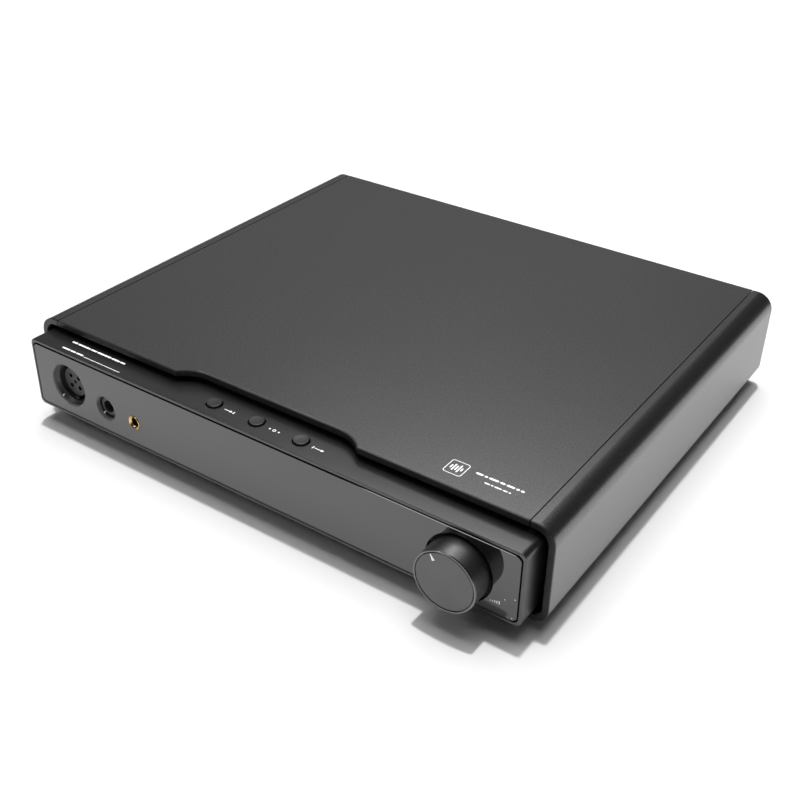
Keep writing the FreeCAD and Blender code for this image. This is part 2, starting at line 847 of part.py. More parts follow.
def fascia_frame():
    """Fascia block: rounded block, recess for the gloss panel, hollow back and openings."""
    body = new_body("fascia_frame")
    front = size("{fascia_front}")
    half = size("{fascia_half}")
    outline = new_sketch(body, "outline", "XZ", front)
    add_rectangle(outline, f"-1 * {half}", half, size("{fascia_low}"), size("{fascia_high}"))
    add_pad(body, outline, "block", size("{fascia_depth}"), "XZ")
    add_fillet(body, "corners", edges_along(body, LENGTHWISE), size("{fascia_radius}"))

    def front_rim(middle):
        return at(middle.y, front)
    add_chamfer(body, "front_break", edges_near(body, front_rim), size("{edge_break}"))

    gap = size("{recess_gap}")
    recess = new_sketch(body, "recess", "XZ", front)
    recess_half = size("{glass_half} + {recess_gap}")
    add_rectangle(
        recess, f"-1 * {recess_half}", recess_half,
        size("{glass_low}") + f" - {gap}", size("{glass_high}") + f" + {gap}",
    )
    add_pocket(body, recess, "panel_recess", size("{recess_depth}"), "XZ")

    def recess_corner(edge):
        point = edge.Vertexes[0].Point
        return at(abs(point.x), recess_half) and edge.Length < value(size("{recess_depth}")) + 0.01
    add_fillet(
        body, "recess_corners", edges_along(body, LENGTHWISE, recess_corner),
        size("{glass_radius} + {recess_gap} / 2"),
    )

    hollow = new_sketch(body, "hollow", "XZ", WEB_BACK)
    inner_half = size("{fascia_half} - {fascia_wall}")
    add_rectangle(
        hollow, f"-1 * {inner_half}", inner_half,
        size("{fascia_low} + {fascia_wall}"), size("{fascia_high} - {fascia_wall}"),
    )
    add_pocket(body, hollow, "hollow_back", f"{FASCIA_BACK} - {WEB_BACK}", "XZ")

    windows = new_sketch(body, "windows", "XZ", WEB_FRONT)
    display_half = size("{display_half} + {display_edge}")
    add_rectangle(
        windows, f"-1 * {display_half}", display_half,
        size("{display_low} - {display_edge}"), size("{display_high} + {display_edge}"),
    )
    add_circle(windows, size("{xlr_x}"), size("{xlr_z}"), size("{xlr_hole}"))
    add_circle(windows, size("{jack_x}"), size("{jack_z}"), size("{jack_hole}"))
    add_circle(windows, size("{pentaconn_x}"), size("{pentaconn_z}"), size("{pentaconn_ring}"))
    add_circle(windows, size("{knob_x}"), size("{knob_z}"), size("{bushing_radius}"))
    add_pocket(body, windows, "openings", size("{fascia_web}"), "XZ")

    wells = new_sketch(body, "button_wells", "XY", size("{fascia_high} - {button_hole_depth}"))
    guides = new_sketch(body, "button_guides", "XY", size("{fascia_high} - {fascia_wall}"))
    for step in (-1, 0, 1):
        add_circle(wells, button_x(step), size("{button_y}"), size("{button_hole}"))
        add_circle(guides, button_x(step), size("{button_y}"), size("{button_stem} + {button_clearance}"))
    add_pocket(body, wells, "button_counterbores", size("{button_hole_depth}"), "XY")
    add_pocket(body, guides, "button_stem_holes", size("{fascia_wall}"), "XY")
    return name_part(body, "fascia_frame")


def gloss_panel():
    """Gloss panel with openings for the sockets and the knob."""
    body = new_body("gloss_panel")
    half = size("{glass_half}")
    outline = new_sketch(body, "outline", "XZ", GLASS_FRONT)
    add_rectangle(outline, f"-1 * {half}", half, size("{glass_low}"), size("{glass_high}"))
    add_pad(body, outline, "sheet", size("{recess_depth} + {glass_proud}"), "XZ")
    add_fillet(body, "corners", edges_along(body, LENGTHWISE), size("{glass_radius}"))
    holes = new_sketch(body, "holes", "XZ", GLASS_FRONT)
    add_circle(holes, size("{xlr_x}"), size("{xlr_z}"), size("{xlr_hole}"))
    add_circle(holes, size("{jack_x}"), size("{jack_z}"), size("{jack_hole}"))
    add_circle(holes, size("{pentaconn_x}"), size("{pentaconn_z}"), size("{pentaconn_ring}"))
    add_circle(holes, size("{knob_x}"), size("{knob_z}"), size("{knob_hole}"))
    add_pocket(body, holes, "socket_and_knob_holes", size("{recess_depth} + {glass_proud}"), "XZ")
    return name_part(body, "gloss_panel")


def display_module():
    """Display glass and its carrier, behind the gloss panel."""
    body = new_body("display_module")
    half = size("{display_half}")
    outline = new_sketch(body, "outline", "XZ", WEB_FRONT)
    add_rectangle(outline, f"-1 * {half}", half, size("{display_low}"), size("{display_high}"))
    add_pad(body, outline, "module", size("{display_depth}"), "XZ")
    return name_part(body, "display_module")


# ---- Headphone sockets ----

def balanced_headphone_socket():
    """Four-contact socket: shell with a key, insert with contact holes, and the contacts."""
    x = size("{xlr_x}")
    z = size("{xlr_z}")
    mouth = size("{fascia_front} + {recess_depth} / 2")
    length = size("{xlr_shell_length}")
    shell = rod("shell", "Y", x, mouth, z, size("{xlr_hole}"), length)
    bore = rod("bore", "Y", x, mouth, z, size("{xlr_bore}"), size("{xlr_shell_length} - {xlr_floor}"))
    seat = cone(
        "seat", "Y", x, mouth, z, size("{xlr_hole} - {contact_wall}"), size("{xlr_bore}"),
        size("{xlr_hole} - {xlr_bore}"),
    )
    hollow_shell = remove("hollow_shell", shell, bore, seat)
    key = block(
        "key", x + " - " + size("{key_width} / 2"), f"{mouth} + 2 * " + size("{key_height}"),
        z + " - " + size("{xlr_bore} + {contact_wall}"), size("{key_width}"),
        length + " - 2 * " + size("{key_height}"), size("{key_height} + {contact_wall}"),
    )
    name_part(join("xlr_socket_shell", hollow_shell, key), "xlr_socket_shell")

    insert_y = size("{fascia_front} + {xlr_insert_recess}")
    insert_back = f"{mouth} + " + size("{xlr_shell_length} - {xlr_floor}")
    insert_length = f"{insert_back} - {insert_y}"
    insert = rod("insert", "Y", x, insert_y, z, size("{xlr_insert}"), insert_length)
    holes = []
    contacts = []
    for step in range(4):
        angle = f"{45 + 90 * step}"
        pin_x = f"{x} + " + size("{xlr_pin_circle}") + f" * cos({angle})"
        pin_z = f"{z} + " + size("{xlr_pin_circle}") + f" * sin({angle})"
        depth = f"{insert_length} - " + size("{xlr_floor}")
        radius = size("{xlr_pin_hole}")
        holes.append(rod("hole", "Y", pin_x, insert_y, pin_z, radius + " + " + size("{contact_wall}"), depth))
        contact_y = f"{insert_y} + " + size("{key_height}")
        contact_length = f"{depth} - " + size("{key_height}")
        tube = rod(
            "tube", "Y", pin_x, contact_y, pin_z, radius + " + " + size("{contact_wall}"), contact_length)
        eye = rod("eye", "Y", pin_x, contact_y, pin_z, radius, contact_length)
        contacts.append(remove("contact", tube, eye))
    dimple = cone("dimple", "Y", x, insert_y, z, size("{xlr_pin_hole}"), size("{contact_wall}"),
                  size("{key_height}"))
    name_part(remove("xlr_socket_insert", insert, dimple, *holes), "xlr_socket_insert")
    name_part(cluster("xlr_socket_contacts", *contacts), "xlr_socket_contacts")


def full_size_jack():
    """Jack for a 6.35 mm plug: stepped body with a ring face, and its contact springs."""
    x = size("{jack_x}")
    z = size("{jack_z}")
    face = WEB_FRONT
    collar = rod("collar", "Y", x, face, z, size("{jack_hole}"), size("{fascia_web}"))
    case = centred_block("case", x, WEB_BACK, z, size("{jack_case_side} / 2"),
                         size("{jack_length} - {fascia_web}"), size("{jack_case_side} / 2"))
    bore = rod("bore", "Y", x, face, z, size("{jack_bore}"), size("{jack_length} - {wall}"))
    ring_step = remove(
        "ring_step",
        rod("step", "Y", x, face, z, size("{jack_hole} - 2 * {contact_wall}"), size("{contact_wall} * 4")),
        rod("ring", "Y", x, face, z, size("{jack_ring}"), size("{contact_wall} * 4")),
    )
    spring_slots = []
    springs = []
    for side in (-1, 1):
        slot_x = f"{x} + {side} * " + size("{jack_bore} + 2 * {jack_spring}")
        slot_y = f"{WEB_BACK} + " + size("{wall}")
        slot = block(
            "slot", slot_x + " - " + size("{jack_spring}"), slot_y, z + " - " + size("{jack_bore} / 2"),
            size("2 * {jack_spring}"), size("{jack_length} / 2"), size("{jack_bore}"),
        )
        spring = block(
            "spring", slot_x + " - " + size("{jack_spring} / 4"), slot_y,
            z + " - " + size("{jack_bore} / 2"), size("{jack_spring}"), size("{jack_length} / 2"),
            size("{jack_bore}"),
        )
        spring_slots.append(slot)
        springs.append(spring)
    body = join("jack_solid", collar, case)
    name_part(remove("jack_635_body", body, bore, ring_step, *spring_slots), "jack_635_body")
    name_part(cluster("jack_635_springs", *springs), "jack_635_springs")


def small_jack():
    """Jack for a 4.4 mm plug: gilded ring that shows on the panel, and its body."""
    x = size("{pentaconn_x}")
    z = size("{pentaconn_z}")
    face = size("{fascia_front} - {glass_proud} - {pentaconn_proud}")
    ring_length = f"{WEB_BACK} - ({face})"
    ring = rod("ring", "Y", x, face, z, size("{pentaconn_ring}"), ring_length)
    bore = rod("bore", "Y", x, face, z, size("{pentaconn_bore}"), ring_length)
    lead_in = cone(
        "lead_in", "Y", x, face, z, size("{pentaconn_bore} + {contact_wall} * 2"), size("{pentaconn_bore}"),
        size("{contact_wall} * 2"),
    )
    name_part(remove("jack_44_ring", ring, bore, lead_in), "jack_44_ring")
    side = size("{pentaconn_case_side} / 2")
    case = centred_block("case", x, WEB_BACK, z, side, size("{pentaconn_length}"), side)
    well = rod("well", "Y", x, WEB_BACK, z, size("{pentaconn_bore}"), size("{pentaconn_length} - {wall}"))
    name_part(remove("jack_44_body", case, well), "jack_44_body")


def socket_board():
    """Circuit board that stands behind the headphone jacks."""
    y = f"{WEB_BACK} + " + size("{jack_length} - {fascia_web}")
    board = block(
        "headphone_board", size("{xlr_x} + {xlr_hole} + 2"), y, size("{socket_board_low}"),
        size("{pentaconn_x} - {xlr_x} - {xlr_hole} + 6"), size("{board_thickness}"),
        size("{socket_board_high} - {socket_board_low}"),
    )
    name_part(board, "headphone_board")


# ---- Buttons ----

def button_x(step):
    """Expression for the X of the left, middle or right button: -1, 0 or 1."""
    return size("{notch_x}") + f" + {step} * " + size("{button_pitch}")


BUTTON_LABELS = {-1: "input_button", 0: "select_button", 1: "output_button"}
CAP_TOP = size("{fascia_high} + {button_proud}")
CAP_FOOT = size("{fascia_high} - {button_hole_depth} + {button_travel} + {button_clearance}")
FLANGE_TOP = size("{fascia_high} - {fascia_wall} - {button_clearance}")
FLANGE_FOOT = f"{FLANGE_TOP} - " + size("{button_flange_height}")
SKIRT_FOOT = f"{FLANGE_FOOT} - " + size("{button_skirt}")
PLUNGER_FOOT = f"{SKIRT_FOOT} - " + size("{plunger_height}")


def push_button(label, step):
    """Turned cap with a broken edge, a stem, a flange that keeps it in the block and a plunger."""
    body = new_body(label)
    place(body, button_x(step), size("{button_y}"), ZERO)
    radius = size("{button_radius}")
    edge = size("{edge_break}")
    stem = size("{button_stem}")
    flange = size("{button_flange}")
    plunger = size("{plunger_radius}")
    profile = new_sketch(body, "profile", "XZ")
    add_polygon(profile, [
        (ZERO, PLUNGER_FOOT), (plunger, PLUNGER_FOOT), (plunger, SKIRT_FOOT), (stem, SKIRT_FOOT),
        (stem, FLANGE_FOOT), (flange, FLANGE_FOOT), (flange, FLANGE_TOP), (stem, FLANGE_TOP),
        (stem, CAP_FOOT), (radius, CAP_FOOT), (radius, f"{CAP_TOP} - {edge}"),
        (f"{radius} - {edge}", CAP_TOP), (ZERO, CAP_TOP),
    ])
    add_revolution(body, profile, "turned")
    return name_part(body, label)


def buttons_and_switches():
    """Three buttons, the switches that their plungers enter, and the board below."""
    y = size("{button_y}")
    switch_top = f"{SKIRT_FOOT} - " + size("{button_travel} + {button_clearance}")
    switch_foot = f"{switch_top} - " + size("{switch_height}")
    half = size("{switch_side} / 2")
    well_foot = f"{PLUNGER_FOOT} - " + size("{button_travel} + {button_clearance}")
    switches = []
    for step, label in BUTTON_LABELS.items():
        push_button(label, step)
        x = button_x(step)
        case = block(
            "case", f"{x} - {half}", f"{y} - {half}", switch_foot, f"2 * {half}", f"2 * {half}",
            size("{switch_height}"),
        )
        well = rod(
            "well", "Z", x, y, well_foot, size("{plunger_radius} + {button_clearance}"),
            size("{switch_height}"),
        )
        switches.append(remove("switch", case, well))
    name_part(cluster("button_switches", *switches), "button_switches")
    half_board = size("{button_pitch} + {switch_side}")
    board = block(
        "button_board", size("{notch_x}") + f" - {half_board}", f"{WEB_BACK} + " + size("{button_clearance}"),
        f"{switch_foot} - " + size("{board_thickness}"), f"2 * {half_board}",
        f"{FASCIA_BACK} - {WEB_BACK} - 1", size("{board_thickness}"),
    )
    name_part(board, "button_board")


# ---- Volume control ----

def turned_about_knob(label, outline, front):
    """Body turned about the knob's axis from a half profile of radius and depth."""
    body = new_body(label)
    place(body, size("{knob_x}"), front, size("{knob_z}"))
    profile = new_sketch(body, "profile", "XY")
    add_polygon(profile, outline)
    add_revolution(body, profile, "turned")
    return body


SET_SCREW_DEPTH = size("{knob_length} - {knob_cavity_depth} - 2 * {set_screw_radius}")


def volume_knob():
    """Turned knob: bevelled rim, seat for the face disc, hollow back and shaft bore."""
    radius = size("{knob_radius}")
    chamfer = size("{knob_chamfer}")
    seat = size("{knob_radius} - {knob_rim}")
    depth = size("{disc_depth}")
    length = size("{knob_length}")
    cavity = size("{knob_cavity}")
    cavity_floor = size("{knob_length} - {knob_cavity_depth}")
    bore = size("{shaft_radius}")
    shaft_end = size("{knob_length} - {knob_cavity_depth} - {shaft_grip} + {disc_depth}")
    body = turned_about_knob("volume_knob", [
        (ZERO, depth), (seat, depth), (seat, ZERO), (f"{radius} - {chamfer}", ZERO),
        (radius, chamfer), (radius, f"{length} - {chamfer}"), (f"{radius} - {chamfer}", length),
        (cavity, length), (cavity, cavity_floor), (bore, cavity_floor), (bore, shaft_end),
        (ZERO, shaft_end),
    ], size("{knob_front}"))
    hole = new_sketch(body, "set_screw_hole", "YZ", f"-1 * {radius}")
    add_circle(hole, SET_SCREW_DEPTH, ZERO, size("{set_screw_radius}"))
    add_pocket(body, hole, "set_screw_bore", radius, "YZ")
    return name_part(body, "volume_knob")


def knob_face():
    """Inset face disc and the white pointer let into it."""
    disc_radius = size("{knob_radius} - {knob_rim} - {disc_gap}")
    front = size("{knob_front} + {disc_gap}")
    thickness = size("{disc_depth} - {disc_gap}")
    disc = turned_about_knob("knob_face_disc", [
        (ZERO, ZERO), (f"{disc_radius} - " + size("{disc_gap}"), ZERO),
        (disc_radius, size("{disc_gap}")), (disc_radius, thickness), (ZERO, thickness),
    ], front)
    seat = new_sketch(disc, "pointer_seat", "XZ")
    add_polygon(seat, pointer_outline())
    add_pocket(disc, seat, "pointer_pocket", size("{pointer_depth}"), "XZ")
    name_part(disc, "knob_face_disc")

    pointer = new_body("knob_pointer")
    place(pointer, size("{knob_x}"), front, size("{knob_z}"))
    wedge = new_sketch(pointer, "wedge", "XZ")
    add_polygon(wedge, pointer_outline())
    add_pad(pointer, wedge, "inlay", size("{pointer_depth}"), "XZ")
    name_part(pointer, "knob_pointer")


def pointer_outline():
    """Wedge that narrows outwards along the pointer's angle from the top of the knob."""
    inner = size("{pointer_inner}")
    outer = size("{pointer_inner} + {pointer_length}")
    angle = "(90 - " + size("{pointer_angle}") + ")"

    def corner(reach, across):
        x = f"{reach} * cos({angle}) - ({across}) * sin({angle})"
        z = f"{reach} * sin({angle}) + ({across}) * cos({angle})"
        return x, z
    half = size("{pointer_half}")
    tip = size("{pointer_tip}")
    return [
        corner(inner, f"-1 * {half}"), corner(outer, f"-1 * {tip}"),
        corner(outer, tip), corner(inner, half),
    ]


def knob_set_screw():
    """Headless screw that clamps the knob to its shaft."""
    y = size("{knob_front}") + f" + {SET_SCREW_DEPTH}"
    x = size("{knob_x} - {shaft_radius} - {set_screw_length}")
    z = size("{knob_z}")
    screw = rod("screw", "X", x, y, z, size("{set_screw_radius}"), size("{set_screw_length}"))
    socket = hexagon("socket", "X", x, y, z, size("{hex_socket} * 0.8"), size("{hex_depth}"))
    name_part(remove("knob_set_screw", screw, socket), "knob_set_screw")


def volume_potentiometer():
    """Shaft, threaded bushing, hexagon nut and the case of the volume potentiometer."""
    x = size("{knob_x}")
    z = size("{knob_z}")
    shaft_front = size("{knob_front} + {knob_length} - {knob_cavity_depth} - {shaft_grip} + {disc_depth}")
    shaft = rod("volume_shaft", "Y", x, shaft_front, z, size("{shaft_radius}"), size("{shaft_length}"))
    name_part(shaft, "volume_shaft")
    bushing_front = f"{WEB_BACK} - " + size("{bushing_length}")
    clearance = size("{shaft_radius} + {shaft_clearance}")
    bushing = remove(
        "volume_bushing",
        rod("thread", "Y", x, bushing_front, z, size("{bushing_radius}"), size("{bushing_length}")),
        rod("bearing", "Y", x, bushing_front, z, clearance, size("{bushing_length}")),
    )
    name_part(bushing, "volume_bushing")
    nut_y = f"{WEB_FRONT} - " + size("{nut_height}")
    nut = remove(
        "volume_nut",
        hexagon("flats", "Y", x, nut_y, z, size("{nut_flat} / cos(30)"), size("{nut_height}")),
        rod("hole", "Y", x, nut_y, z, size("{bushing_radius}"), size("{nut_height}")),
    )
    name_part(nut, "volume_nut")
    side = size("{pot_side} / 2")
    case = centred_block("case", x, WEB_BACK, z, side, size("{pot_depth}"), side)
    well_length = f"{shaft_front} + " + size("{shaft_length}") + f" - {WEB_BACK} + 0.3"
    well = rod("well", "Y", x, WEB_BACK, z, clearance, well_length)
    name_part(remove("volume_pot_case", case, well), "volume_pot_case")


# ---- Rear panel ----

def rear_panel():
    """Rear panel with its openings, inside the rim of the case."""
    body = new_body("rear_panel")
    half = size("{case_half} - {wall} - {inner_gap}")
    low = size("{case_base} + {wall} + {inner_gap}")
    high = size("{case_top} - {wall} - {inner_gap}")
    outline = new_sketch(body, "outline", "XZ", REAR_INNER)
    add_rectangle(outline, f"-1 * {half}", half, low, high)
    add_pad(body, outline, "plate", size("{rear_thickness}"), "XZ")

    def at_height(height):
        return lambda edge: at(edge.Vertexes[0].Point.z, height)
    add_fillet(body, "top_corners", edges_along(body, LENGTHWISE, at_height(high)),
               size("{top_radius} - {wall}"))
    add_fillet(body, "base_corners", edges_along(body, LENGTHWISE, at_height(low)),
               size("{base_radius} - {wall}"))

    openings = new_sketch(body, "openings", "XZ", REAR_INNER)
    gap = size("{inner_gap} / 2")
    inlet_x = size("{inlet_x}")
    inlet_half = size("{inlet_body_half}") + f" + {gap}"
    add_rectangle(
        openings, f"{inlet_x} - ({inlet_half})", f"{inlet_x} + {inlet_half}",
        size("{inlet_z} - {inlet_body_low}") + f" - {gap}",
        size("{inlet_z} + {inlet_body_top}") + f" + {gap}",
    )
    rocker_half = size("{rocker_body_x}") + f" + {gap}"
    rocker_tall = size("{rocker_body_z}") + f" + {gap}"
    add_rectangle(
        openings, size("{rocker_x}") + f" - ({rocker_half})", size("{rocker_x}") + f" + {rocker_half}",
        size("{rocker_z}") + f" - ({rocker_tall})", size("{rocker_z}") + f" + {rocker_tall}",
    )
    for x, z, radius in round_rear_openings():
        add_circle(openings, x, z, radius)
    usb_low = BOARD_TOP
    add_rectangle(
        openings, size("{usb_x} - {usb_half}") + f" - {gap}", size("{usb_x} + {usb_half}") + f" + {gap}",
        f"{usb_low} - {gap}", f"{usb_low} + " + size("{usb_height}") + f" + {gap}",
    )
    add_rectangle(
        openings, size("{optical_x} - {optical_half}") + f" - {gap}",
        size("{optical_x} + {optical_half}") + f" + {gap}",
        f"{usb_low} - {gap}", f"{usb_low} + " + size("2 * {optical_half}") + f" + {gap}",
    )
    add_pocket(body, openings, "socket_openings", size("{rear_thickness}"), "XZ")
    return name_part(body, "rear_panel")


def phono_places():
    """Centres of the phono sockets: analogue pair, then the digital one."""
    left = size("{phono_left_x}")
    return [
        (left, size("{output_high_z}")), (left, size("{output_low_z}")),
        (size("{phono_digital_x}"), size("{output_low_z}")),
    ]


def balanced_places():
    """Centres of the balanced output sockets."""
    z = size("{balanced_z}")
    return [(size("{balanced_left_x}"), z), (size("{balanced_right_x}"), z)]


def balanced_screw_places():
    """Centres of the two screws of each balanced socket, on its diagonal."""
    places = []
    for x, z in balanced_places():
        for side in (-1, 1):
            places.append((
                f"{x} + {side} * " + size("{balanced_screw_x}"),
                f"{z} + {side} * " + size("{balanced_screw_z}"),
            ))
    return places


def panel_screw_places():
    """Centres of the four screws that hold the rear panel."""
    places = []
    for side in (-1, 1):
        for height in ("{channel_low_z}", "{channel_high_z}"):
            places.append((f"{side} * " + size("{rear_screw_x}"), size(height)))
    return places


def round_rear_openings():
    """Centre and radius of each round opening of the rear panel."""
    openings = [(x, z, size("{phono_insulator} + 1")) for x, z in phono_places()]
    openings += [(x, z, size("{balanced_radius}")) for x, z in balanced_places()]
    screws = panel_screw_places() + balanced_screw_places()
    openings += [(x, z, size("{rear_screw_radius}")) for x, z in screws]
    return openings


def rear_screw(x, z, seat, length):
    """Pan-head screw with a hexagon socket, its head against a seat that faces the back."""
    head = rod("head", "Y", x, seat, z, size("{rear_screw_head}"), size("{rear_screw_head_height}"))
    shank = rod("shank", "Y", x, f"{seat} - {length}", z, size("{rear_screw_radius}"), length)
    socket_y = f"{seat} + " + size("{rear_screw_head_height} - {hex_depth}")
    socket = hexagon("socket", "Y", x, socket_y, z, size("{hex_socket}"), size("{hex_depth}"))
    return remove("rear_screw", join("screw", head, shank), socket)


def rear_fasteners():
    """Screws of the rear panel and of the balanced sockets."""
    panel_length = size("{rear_screw_length} + {rear_thickness} - 0.5")
    screws = [rear_screw(x, z, REAR_FACE, panel_length) for x, z in panel_screw_places()]
    seat = f"{REAR_FACE} + " + size("{balanced_flange}")
    length = size("{rear_thickness} + {balanced_flange} + 2")
    screws += [rear_screw(x, z, seat, length) for x, z in balanced_screw_places()]
    name_part(cluster("rear_screws", *screws), "rear_screws")


def mains_inlet():
    """Mains inlet with its blades, and the fuse drawer under it."""
    x = size("{inlet_x}")
    z = size("{inlet_z}")
    flange_back = f"{REAR_FACE} + " + size("{inlet_flange}")
    front = f"{flange_back} - " + size("{inlet_depth}")

    def slab(name, half, low, high, y, depth):
        return block(name, f"{x} - ({half})", y, f"{z} + {low}", f"2 * ({half})", depth, f"{high} - ({low})")
    flange = slab("flange", size("{inlet_flange_half}"), size("-1 * {inlet_flange_low}"),
                  size("{inlet_flange_top}"), REAR_FACE, size("{inlet_flange}"))
    case = slab("case", size("{inlet_body_half}"), size("-1 * {inlet_body_low}"),
                size("{inlet_body_top}"), front, size("{inlet_depth}"))
    cavity_y = f"{flange_back} - " + size("{inlet_cavity_depth}")
    cavity_box = slab("cavity", size("{inlet_cavity_half}"), size("{inlet_cavity_low}"),
                      size("{inlet_cavity_z}"), cavity_y, size("{inlet_cavity_depth}"))
    cavity = doc.addObject("Part::Chamfer", "keyed_cavity")
    cavity.Base = cavity_box
    doc.recompute()
    corner = value(size("{inlet_corner}"))
    cavity.Edges = [
        (index, corner, corner) for index, edge in enumerate(cavity_box.Shape.Edges, start=1)
        if abs(edge.tangentAt(0).y) > 0.9 and edge.CenterOfMass.z > value(z)
    ]
    gap = size("{drawer_gap}")
    drawer_y = f"{flange_back} - " + size("{drawer_depth}")
    drawer_well = slab("well", size("{drawer_half}") + f" + {gap}", size("{drawer_low}") + f" - {gap}",
                       size("{drawer_high}") + f" + {gap}", f"{drawer_y} - {gap}",
                       size("{drawer_depth}") + f" + {gap}")
    name_part(remove("mains_inlet", join("inlet_case", flange, case), cavity, drawer_well), "mains_inlet")

    blades = []
    for side, rise in ((-1, -1), (0, 1), (1, -1)):
        blade_x = f"{x} + {side} * " + size("{blade_pitch}") + " - " + size("{blade_thickness} / 2")
        blade_z = f"{z} + {rise} * " + size("{blade_offset}") + " - " + size("{blade_width} / 2")
        length = size("{inlet_cavity_depth} - {blade_recess}")
        blades.append(block("blade", blade_x, cavity_y, blade_z, size("{blade_thickness}"), length,
                            size("{blade_width}")))
    name_part(cluster("inlet_blades", *blades), "inlet_blades")

    tray = slab("tray", size("{drawer_half}"), size("{drawer_low}"), size("{drawer_high}"), drawer_y,
                size("{drawer_depth}"))
    lip = slab("lip", size("{drawer_half} + {drawer_lip}"), size("{drawer_low} - {drawer_lip}"),
               size("{drawer_high} + {drawer_lip} / 3"), f"{flange_back} + {gap}", size("{drawer_lip}"))
    neck = slab("neck", size("{drawer_half}"), size("{drawer_low}"), size("{drawer_high}"),
                f"{flange_back} - {gap}", f"3 * {gap}")
    fuse_z = f"{z} + " + size("({drawer_low} + {drawer_high}) / 2")
    trough_half = size("{fuse_length} / 2")
    fuse_y = f"{drawer_y} + " + size("{fuse_radius} + 2")
    trough = block(
        "trough", f"{x} - {trough_half} - {gap}", f"{fuse_y} - " + size("{fuse_radius}") + f" - {gap}",
        f"{fuse_z} - " + size("{fuse_radius}") + f" - {gap}", f"2 * {trough_half} + 2 * {gap}",
        size("2 * {fuse_radius}") + f" + 2 * {gap}",
        size("{drawer_high} - {drawer_low}"),
    )
    name_part(remove("fuse_drawer", join("drawer", tray, neck, lip), trough), "fuse_drawer")
    fuse = rod("mains_fuse", "X", f"{x} - {trough_half}", fuse_y, fuse_z, size("{fuse_radius}"),
               f"2 * {trough_half}")
    name_part(fuse, "mains_fuse")


def power_rocker():
    """Frame of the mains switch, its rocker tilted to the off side, and its pivot pin."""
    x = size("{rocker_x}")
    z = size("{rocker_z}")
    flange_back = f"{REAR_FACE} + " + size("{rocker_flange}")
    flange = centred_block("flange", x, REAR_FACE, z, size("{rocker_flange_x}"), size("{rocker_flange}"),
                           size("{rocker_flange_z}"))
    case = centred_block("case", x, f"{flange_back} - " + size("{rocker_depth}"), z,
                         size("{rocker_body_x}"), size("{rocker_depth}"), size("{rocker_body_z}"))
    well = centred_block("well", x, f"{flange_back} - " + size("{rocker_well}"), z,
                         size("{rocker_open_x}"), size("{rocker_well}"), size("{rocker_open_z}"))
    pivot_y = f"{REAR_FACE} - " + size("{rocker_pivot_inset}")
    pin_bore = rod("pin_bore", "X", f"{x} - " + size("{rocker_body_x}"), pivot_y, z,
                   size("{rocker_pin} + {shaft_clearance}"), size("2 * {rocker_body_x}"))
    name_part(remove("rocker_frame", join("rocker_case", flange, case), well, pin_bore), "rocker_frame")

    body = new_body("power_rocker")
    tilt = Rotation(Vector(1, 0, 0), value(size("{rocker_tilt}")))
    body.Placement = FreeCAD.Placement(Vector(), tilt)
    place(body, x, pivot_y, z)
    half_z = size("{rocker_half_z}")
    nose = size("{rocker_nose}")
    shoulder = "-1 * " + size("{rocker_pin} + {inner_gap} * 2")
    valley = f"{nose} - {half_z} * tan(" + size("{rocker_tilt}") + ")"
    profile = new_sketch(body, "profile", "YZ", "-1 * " + size("{rocker_half_x}"))
    add_polygon(profile, [
        (nose, f"-1 * {half_z}"), (valley, ZERO), (nose, half_z),
        (shoulder, f"{half_z} * 0.8"), (f"-1 * {nose}", ZERO), (shoulder, f"-0.8 * {half_z}"),
    ])
    add_pad(body, profile, "paddle", size("2 * {rocker_half_x}"), "YZ")
    trunnion_reach = size("{rocker_body_x} - {inner_gap}")
    trunnions = new_sketch(body, "trunnions", "YZ", f"-1 * {trunnion_reach}")
    add_circle(trunnions, ZERO, ZERO, size("{rocker_pin}"))
    add_pad(body, trunnions, "trunnion_pair", f"2 * {trunnion_reach}", "YZ")
    name_part(body, "power_rocker")


def phono_sockets():
    """Phono sockets: gilded barrels with a flange, and the insulators around them."""
    barrels = []
    insulators = []
    for x, z in phono_places():
        length = size("{phono_proud} + {rear_thickness} + {phono_depth}")
        start = f"{REAR_INNER} - " + size("{phono_depth}")
        core = rod("core", "Y", x, start, z, size("{phono_insulator}"), length)
        seat_y = f"{REAR_FACE} + " + size("{phono_flange_height}")
        nose = rod("nose", "Y", x, seat_y, z, size("{phono_radius}"),
                   size("{phono_proud} - {phono_flange_height}"))
        flange = rod("flange", "Y", x, seat_y, z, size("{phono_flange} - 0.8"),
                     size("{phono_flange_height}"))
        bore = rod("bore", "Y", x, start + " + 2", z, size("{phono_bore}"), length)
        barrels.append(remove("barrel", join("barrel_solid", core, nose, flange), bore))
        washer = rod("washer", "Y", x, REAR_FACE, z, size("{phono_flange}"), size("{phono_flange_height}"))
        sleeve = rod("sleeve", "Y", x, REAR_INNER, z, size("{phono_insulator} + 1"), size("{rear_thickness}"))
        eye = rod("eye", "Y", x, REAR_INNER, z, size("{phono_insulator}"), length)
        insulators.append(remove("insulator", join("insulator_solid", washer, sleeve), eye))
    name_part(cluster("phono_barrels", *barrels), "phono_barrels")
    name_part(cluster("phono_insulators", *insulators), "phono_insulators")


